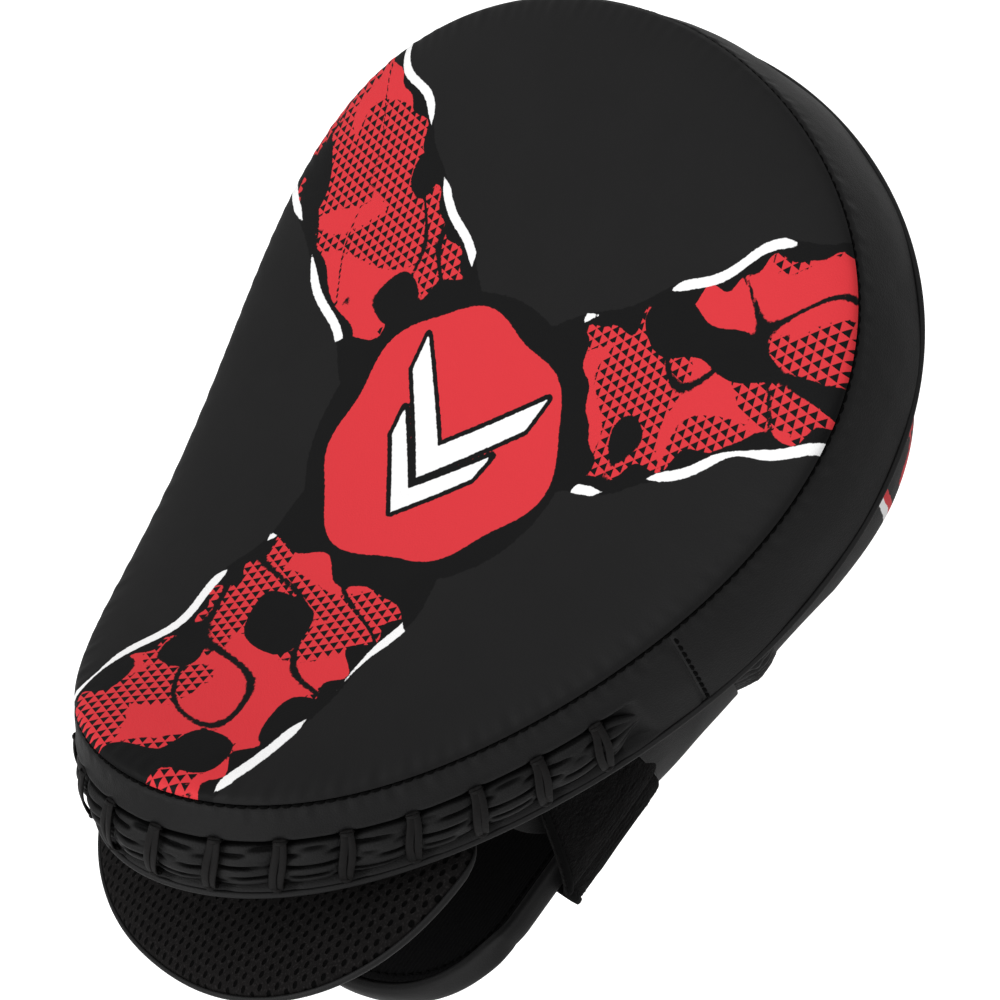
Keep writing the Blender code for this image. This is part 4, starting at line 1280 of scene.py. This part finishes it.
def cushion_outline(steps):
    """Plan outline of the wrist cushion: its free tongue, its neck and its sewn-down part."""
    turn = np.linspace(pi, 2 * pi, 200)
    reach = TONGUE_WIDEST_Y - TONGUE_TIP_Y
    front = np.stack(lobe(turn, TONGUE_HALF_WIDTH, reach, reach, TONGUE_WIDEST_Y, (2.16, 2.16)), -1)
    neck = np.array([(66.4, -94.0), (65.0, -88.5), (60.5, -84.5), (56.0, -81.5), (53.5, -77.0),
                     (53.0, -70.0), (53.0, -40.0), (50.0, -29.0), (42.0, -24.5), (20.0, -24.0),
                     (0.0, -24.0)]) * MM
    right = soften(np.concatenate([[[TONGUE_HALF_WIDTH, TONGUE_WIDEST_Y]], neck]))
    left = right[::-1] * (-1, 1)
    ring = np.concatenate([front, right[1:], left[1:-1]])
    centre = np.array([0.0, CUSHION_CENTRE_Y])
    angles = np.unwrap(np.arctan2(ring[:, 1] - centre[1], ring[:, 0] - centre[0]))
    radii = np.linalg.norm(ring - centre, axis=1)
    wanted = ring_angles(steps) + angles[0]
    return wanted, np.interp(wanted, angles, radii, period=2 * pi)


def tongue_height(y):
    """Height of the middle of the tongue, which falls a little towards its hinge."""
    return TONGUE_AXIS.z - 0.08 * (y - TONGUE_AXIS.y)


def build_wrist_cushion(looks):
    """One mesh-covered cushion: sewn under the pad behind, a free tongue in front."""
    steps = 300
    angles, radius = cushion_outline(steps)
    rim = 0.8 * MM
    shares = spread_shares(44, 1.35)
    top_rows, bottom_rows, flat = [], [], []
    for share in shares:
        x = np.cos(angles) * radius * share
        y = CUSHION_CENTRE_Y + np.sin(angles) * radius * share
        middle = tongue_height(y)
        fullness = (1 - share ** 5) ** 0.5
        free = 1 - smooth(-92.0 * MM, -76.0 * MM, y)
        half = 5.4 * MM * fullness + rim
        top_free = middle + half
        top_sewn = underside(y) - 0.2 * MM
        bottom_sewn = underside(y) - 1.3 * MM - 8.0 * MM * fullness
        top = top_sewn + (np.minimum(top_free, top_sewn) - top_sewn) * free
        bottom = bottom_sewn + (middle - half - bottom_sewn) * free
        top_rows.append(np.stack([x, y, top], -1))
        bottom_rows.append(np.stack([x, y, bottom], -1))
        flat.append(np.stack([x, y], -1))
    rows = np.array(top_rows + bottom_rows[::-1])
    flat = np.array(flat + flat[::-1]).reshape(-1, 2)
    flat = np.concatenate([flat, [[0.0, CUSHION_CENTRE_Y]] * 2])
    points, faces = closed_rows(rows)
    item = piece("wrist_cushion", points, faces, looks["mesh"])
    lay_out(item, *flat.T)
    index = np.arange(len(points))
    from_edge = np.abs(index // steps - len(shares) + 0.5)
    sewn = (from_edge < 2) | (points[:, 1] > -80.0 * MM)
    inflate(item, index[sewn], 6.0, 1.2 * MM)
    bend_with(item)
    settle(item, None, "mesh_fabric", "wrist_pad", "tongue_cover", "tongue_foam")

    out = np.stack([np.cos(angles), np.sin(angles)], -1) * (radius + 0.7 * MM)[:, None]
    x, y = np.roll(out, -int(np.argmax(out[:, 1])), axis=0).T
    free = np.flatnonzero(y + CUSHION_CENTRE_Y < -84.0 * MM)
    x, y = x[free], y[free] + CUSHION_CENTRE_Y
    centres = np.stack([x, y, tongue_height(y)], -1)
    fine = smooth(-84.0 * MM, -97.0 * MM, y)
    cord = sweep(centres, UP, (0.2 + 0.6 * fine) * MM, (0.4 + 0.8 * fine) * MM, steps=10)
    edge = piece("tongue_edge", *cord, looks["piping"])
    bend_with(edge)
    settle(edge, None, "piping", "tongue_piping")


# ---------------------------------------------------------------- cuff and strap

def cuff_plan(angles, outward):
    """Plan of the cuff, grown outward by a distance."""
    front = CUFF_CENTRE_Y - CUFF_TIP_Y + outward
    return lobe(angles, CUFF_HALF_WIDTH + outward, front, CUFF_BACK, CUFF_CENTRE_Y, CUFF_POWERS)


def cuff_height(x, depth):
    """Height on the cuff, which curls up at both sides."""
    return CUFF_Z + depth + CUFF_LIFT * np.minimum(np.abs(x / CUFF_HALF_WIDTH), 1.0) ** 3


def cuff_layer(name, look, body_low, body_high, inset, edge):
    """Closed layer of the cuff between two depths, thinned towards its edge."""
    across, along = cuff_plan(ring_angles(320), -inset)
    middle = (body_low + body_high) / 2
    shares = spread_shares(44, 1.3)
    grids = []
    for share, face in [(share, 1) for share in shares] + [(share, -1) for share in shares[::-1]]:
        x = across * share
        y = CUFF_CENTRE_Y + (along - CUFF_CENTRE_Y) * share
        half = edge + ((body_high - body_low) / 2 - edge) * (1 - share ** 8) ** 0.5
        grids.append(np.stack([x, y, cuff_height(x, middle + face * half)], -1))
    grids = np.array(grids)
    flat = np.concatenate([grids[..., :2].reshape(-1, 2), [[0.0, CUFF_CENTRE_Y]] * 2])
    item = piece(name, *closed_rows(grids), look)
    lay_out(item, *flat.T)
    return item


def cuff_rim(outward, stop):
    """Plan path round the free edge of the cuff, from one side of its hinge to the other."""
    front = np.stack(cuff_plan(np.linspace(pi, 2 * pi, 300), outward), -1)
    rise = np.linspace(CUFF_AXIS.y - stop, CUFF_CENTRE_Y, 60)[:-1]
    ahead = np.clip((rise - CUFF_CENTRE_Y) / CUFF_BACK, 0.0, 1.0)
    half = (CUFF_HALF_WIDTH + outward) * (1 - ahead ** CUFF_POWERS[1]) ** (1 / CUFF_POWERS[1])
    right = np.stack([half, rise], -1)
    return resample(np.concatenate([right * (-1, 1), front, right[::-1]]), 420)


def raised(path, depth):
    """Plan path lifted on to the cuff at a depth."""
    return np.concatenate([path, cuff_height(path[:, 0], depth)[:, None]], axis=1)


def build_cuff(looks):
    """Padded flap behind the wrist: leather outside, ribbed lining inside, bound edge."""
    shell = cuff_layer("cuff_leather", looks["leather"], 0.0, 5.7 * MM, 0.0, 0.9 * MM)
    settle(shell, "cuff", "black_leather", "cuff_shell", "cuff_foam")
    lining = cuff_layer("cuff_lining_cloth", looks["lining"], 5.8 * MM, 7.0 * MM, 1.5 * MM, 0.3 * MM)
    settle(lining, "cuff", "lining_fabric", "cuff_lining")
    centres = raised(cuff_rim(0.9 * MM, 4.0 * MM), 3.5 * MM)
    away = raised(cuff_rim(4.0 * MM, 4.0 * MM), 3.5 * MM) - centres
    cord = sweep(centres, unit(away), 4.0 * MM, 2.3 * MM, steps=16, power=2.6)
    settle(piece("cuff_edge", *cord, looks["piping"]), "cuff", "piping", "cuff_binding")
    inside = cuff_rim(-3.6 * MM, 6.0 * MM)
    parts = []
    for depth, way in ((7.3 * MM, UP), (-0.1 * MM, -UP)):
        path = raised(inside, depth)
        parts += stitch_parts(path, np.broadcast_to(way, path.shape), 3.2 * MM, 2.2 * MM, 0.28 * MM)
    settle(piece("cuff_stitches", *merge(parts), looks["thread"]), "cuff", "lace_cord")
    build_cuff_hinge(looks)


def build_cuff_hinge(looks):
    """Leather skin that carries the hood's wrist edge on to the back of the cuff."""
    knots = [(8.0, 0.2), (2.0, 0.15), (-0.5, -0.4), (-2.5, -3.6), (-5.0, -6.8), (-9.0, -8.4),
             (-15.0, -8.6)]
    path = resample(soften(knots), 40)
    x = np.linspace(-44.0, 44.0, 90) * MM
    y = WRIST_EDGE_Y + path[:, 0] * MM
    z = FLOOR_Z - path[:, 1] * MM
    lift = CUFF_LIFT * np.abs(x / CUFF_HALF_WIDTH) ** 3
    share = smooth(0.0, -8.0 * MM, y - WRIST_EDGE_Y)
    grid_z = z[:, None] + lift[None] * share[:, None] - 0.5 * MM
    points = np.stack(np.broadcast_arrays(x[None], y[:, None], grid_z), -1)
    item = sheet("cuff_hinge_leather", points, 1.0 * MM, looks["leather"])
    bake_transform(item)
    settle(item, None, "black_leather")


def strap_place(distance):
    """Places (x, z) and turns of the strap's middle at distances from its sewn end."""
    turn = np.clip((distance - STRAP_FLAT) / STRAP_CORNER, 0.0, pi / 2)
    rise = np.maximum(distance - STRAP_FLAT - STRAP_CORNER * pi / 2, 0.0)
    x = STRAP_START_X + np.minimum(distance, STRAP_FLAT) + STRAP_CORNER * np.sin(turn)
    z = STRAP_Z + STRAP_CORNER * (1 - np.cos(turn)) + rise
    return x, z, turn


def strap_grid(distance, share, out):
    """Points on the strap: share 0 is the wrist-side edge, out is off its middle plane."""
    x, z, turn = strap_place(distance)
    end = STRAP_FLAT + STRAP_CORNER * pi / 2
    rise = np.clip((distance - end) / (STRAP_LENGTH - end), 0.0, 1.0)
    low = STRAP_EDGES[0] + (STRAP_TIP_Y - STRAP_EDGES[0]) * rise
    belly = np.sin(pi * rise ** 0.6)
    high = STRAP_EDGES[1] + STRAP_TURN_IN * (smooth(STRAP_FLAT, end, distance) + 0.8 * belly)
    y = low + (high - low) * share
    bow = STRAP_BOW * belly * (0.6 + 0.4 * np.sin(pi * share))
    x = x + np.sin(turn) * out + bow
    return np.stack(np.broadcast_arrays(x, y, z - np.cos(turn) * out), -1)


def band_section(steps, power):
    """Shares across and out of a flat band round its section, its edges rounded."""
    turn = ring_angles(steps)[None]
    return 0.5 + 0.5 * superpower(np.cos(turn), 0.35), superpower(np.sin(turn), power)


def strap_part(name, start, end, look, columns):
    """Length of strap as a closed band with rounded edges and a rough pile outside."""
    distance = np.linspace(start, end, columns)[:, None]
    share, bulge = band_section(96, 0.25)
    rough = ripple(distance + share * 40 * MM, 1.9 * MM, 41)
    rough = rough * ripple(distance * 0.6 - share * 38 * MM, 2.3 * MM, 43)
    out = bulge * STRAP_THICKNESS / 2 + np.where(bulge > 0, rough * 0.22 * MM, 0.0)
    rows = strap_grid(distance, share, out)
    item = piece(name, *closed_rows(rows), look)
    across = np.broadcast_to(share * 40 * MM, rows.shape[:2]).ravel()
    along = np.broadcast_to(distance, rows.shape[:2]).ravel()
    lay_out(item, np.concatenate([along, [start, end]]), np.concatenate([across, [0.0, 0.0]]))
    return item


def build_strap(looks):
    """Loop-faced strap sewn to the cuff, round the side and pressed on to its tab."""
    meet = STRAP_FLAT * 0.55
    lower = strap_part("strap_lower", 0.0, meet, looks["loop"], 130)
    bend_with(lower)
    settle(lower, None, "loop_fabric", "strap_root")
    upper = strap_part("strap_upper", meet, STRAP_LENGTH, looks["loop"], 240)
    bend_with(upper)
    settle(upper, None, "loop_fabric", "strap_run", "strap_end")

    distance = np.linspace(meet, STRAP_LENGTH, 240)[:, None]
    edge = np.linspace(0.010, 0.050, 8)[None]
    rounding = 0.25 * MM * (2 * (edge - 0.03) / 0.04) ** 2
    rows = strap_grid(distance, edge, STRAP_THICKNESS / 2 + 0.30 * MM - rounding)
    band = sheet("strap_edge_band", rows, 0.5 * MM, looks["thread"])
    bend_with(band)
    settle(band, None, "piping")
    build_pull_tab(looks)


def build_pull_tab(looks):
    """Thumb tab at the strap's tip."""
    distance = np.linspace(STRAP_LENGTH - 3.0 * MM, STRAP_LENGTH + 9.0 * MM, 30)[:, None]
    low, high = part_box("pull_tab")
    share, bulge = band_section(64, 0.3)
    x, z, _ = strap_place(distance)
    y = low.y + (high.y - low.y) * share
    rows = np.stack(np.broadcast_arrays(x + bulge * 0.9 * MM + 0.7 * MM, y, z), -1)
    item = piece("strap_pull_tab", *closed_rows(rows), looks["piping"])
    settle(item, "strap_tip", "black_leather", "pull_tab")


def build_side_tabs(looks):
    """Leather tabs beside the wrist, and the hook patch that the strap closes on."""
    for side, word in ((1, "right"), (-1, "left")):
        low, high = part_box("side_tab_" + word)
        x = high.x if side > 0 else low.x
        y = np.linspace(low.y + 3.5 * MM, high.y, 60)[None]
        share = np.linspace(0.0, 1.0, 50)[:, None]
        z = underside(y) * (1 - share) + low.z * share
        y = y + (high.y - y) * 0.45 * share ** 3
        bow = 0.3 * MM * ripple(y + share * 30 * MM, 40 * MM, 51) * np.sin(pi * share)
        bow = np.abs(bow) + 2.5 * MM * share ** 2
        points = np.stack(np.broadcast_arrays(x - side * bow, y, z), -1)
        item = sheet("wrist_tab_" + word, points, -side * 1.4 * MM, looks["leather"])
        settle(item, "root", "black_leather", "side_tab_" + word)
    low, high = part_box("hook_patch")
    y = np.linspace(low.y, high.y, 20)[None]
    z = np.linspace(low.z, high.z, 26)[:, None]
    points = np.stack(np.broadcast_arrays(high.x - 0.5 * MM, y, z), -1)
    parts = [thick_rows(points, -0.5 * MM)]
    hook = np.array([(-0.6, 0.0, 0.0), (-0.25, 0.0, 0.0), (-0.05, 0.0, 0.25), (-0.15, 0.0, 0.5)]) * MM
    for row in np.arange(low.y + MM, high.y, 1.5 * MM):
        for place in np.arange(low.z + MM, high.z, 1.5 * MM):
            stem = np.array((high.x, row, place)) + hook
            parts.append(sweep(stem, np.array([0.0, 1.0, 0.0]), 0.12 * MM, 0.12 * MM, steps=4))
    settle(piece("hook_tape_patch", *merge(parts), looks["hook"]), "root", "hook_tape", "hook_patch")


# ---------------------------------------------------------------- stage

FLOOR_REACH = 6.0
FLOOR_DROP = 0.19
LIGHT_BELOW = 0.42                       # strength of the surround's light from straight below
CAMERA_AZIMUTH = radians(79.87)
CAMERA_ELEVATION = radians(47.41)
CAMERA_ROLL = radians(46.31)
CAMERA_DISTANCE = 895.5 * MM
CAMERA_LENS = 114.58
AIM_RIGHT = 12.6 * MM
AIM_DOWN = 13.8 * MM


def floor_look():
    """Pale floor, clear from below so that the underside can be looked at."""
    look = Look("pale_floor")
    seen = look.node("ShaderNodeLightPath").outputs["Is Camera Ray"]
    tone = look.mix(look.noise(6.0), (0.90, 0.90, 0.90), (0.93, 0.93, 0.93))
    look.done(look.mix(seen, (0.64, 0.64, 0.64), tone), 0.9, None, 0.0)
    look.feed(look.shader.inputs["Emission Color"], (1.0, 1.0, 1.0))
    look.feed(look.shader.inputs["Emission Strength"], look.sums("MULTIPLY", seen, 0.55))
    behind = look.node("ShaderNodeNewGeometry").outputs["Backfacing"]
    clear = look.node("ShaderNodeBsdfTransparent").outputs[0]
    mixed = look.node("ShaderNodeMixShader", {0: behind, 1: look.shader.outputs[0], 2: clear})
    output = look.tree.nodes["Material Output"]
    look.feed(output.inputs["Surface"], mixed.outputs[0])
    return look.material


def build_world():
    """White surround for the camera, and a softer light from above for the object."""
    world = bpy.data.worlds.new("studio")
    bpy.context.scene.world = world
    sky = Nodes(world)
    white = (1.0, 1.0, 1.0)
    seen = sky.tree.nodes["Background"]
    sky.feed(seen.inputs["Color"], white)
    place = sky.node("ShaderNodeTexCoord").outputs["Generated"]
    height = sky.node("ShaderNodeSeparateXYZ", {0: place}).outputs[2]
    range_of = {"Value": height, "To Min": LIGHT_BELOW, "To Max": 1.0}
    strength = sky.node("ShaderNodeMapRange", range_of).outputs[0]
    light = sky.node("ShaderNodeBackground", {"Color": white, "Strength": strength})
    camera_ray = sky.node("ShaderNodeLightPath").outputs["Is Camera Ray"]
    mixed = sky.node("ShaderNodeMixShader", {0: camera_ray, 1: light.outputs[0], 2: seen.outputs[0]})
    sky.feed(sky.tree.nodes["World Output"].inputs["Surface"], mixed.outputs[0])


def build_stage():
    """Pale floor, soft light and the camera at the photograph's angle."""
    bpy.context.scene.view_settings.view_transform = "Standard"
    corners = [(-1, -1, 0), (1, -1, 0), (1, 1, 0), (-1, 1, 0)]
    floor = piece("floor", np.array(corners) * FLOOR_REACH, [[0, 1, 2, 3]], floor_look())
    floor.location.z = FLOOR_Z - FLOOR_DROP
    build_world()
    add_area("key_light", (-0.1, -0.75, 1.1), 0.9, 5.0)
    add_area("fill_light", (0.35, -1.0, 0.3), 0.8, 2.5)
    add_camera()


def add_area(name, place, size, power):
    """Square soft lamp aimed at the middle of the face seam."""
    data = bpy.data.lights.new(name, "AREA")
    data.energy = power
    data.size = size
    lamp = bpy.data.objects.new(name, data)
    lamp.location = place
    aim = Vector((0.0, 0.0, SEAM_Z)) - Vector(place)
    lamp.rotation_euler = aim.to_track_quat("-Z", "Y").to_euler()
    bpy.context.scene.collection.objects.link(lamp)


def add_camera():
    """Camera at the photograph's angle, aimed near the middle of the face seam."""
    level = Vector((cos(CAMERA_AZIMUTH), sin(CAMERA_AZIMUTH), 0.0))
    ahead = Vector((sin(CAMERA_AZIMUTH), -cos(CAMERA_AZIMUTH), 0.0))
    back = ahead * cos(CAMERA_ELEVATION) + Vector((0.0, 0.0, sin(CAMERA_ELEVATION)))
    upright = back.cross(level)
    right = level * cos(CAMERA_ROLL) - upright * sin(CAMERA_ROLL)
    up = level * sin(CAMERA_ROLL) + upright * cos(CAMERA_ROLL)
    target = right * AIM_RIGHT - up * AIM_DOWN + Vector((0.0, 0.0, SEAM_Z))
    data = bpy.data.cameras.new("camera")
    data.sensor_width = 36.0
    data.lens = CAMERA_LENS
    camera = bpy.data.objects.new("camera", data)
    turn = Matrix((right, up, back)).transposed().to_4x4()
    camera.matrix_world = Matrix.Translation(target + back * CAMERA_DISTANCE) @ turn
    bpy.context.scene.collection.objects.link(camera)
    bpy.context.scene.camera = camera


def main():
    looks = make_looks()
    build_face(looks)
    build_layers(looks)
    build_back_panel(looks)
    build_side_wall(looks)
    build_wall_stitches(looks)
    build_gathered_strip(looks)
    build_lace(looks)
    build_rim(looks)
    build_hood(looks)
    build_side_walls(looks)
    build_palm_ball(looks)
    build_wrist_cushion(looks)
    build_cuff(looks)
    build_side_tabs(looks)
    build_strap(looks)
    build_stage()


main()
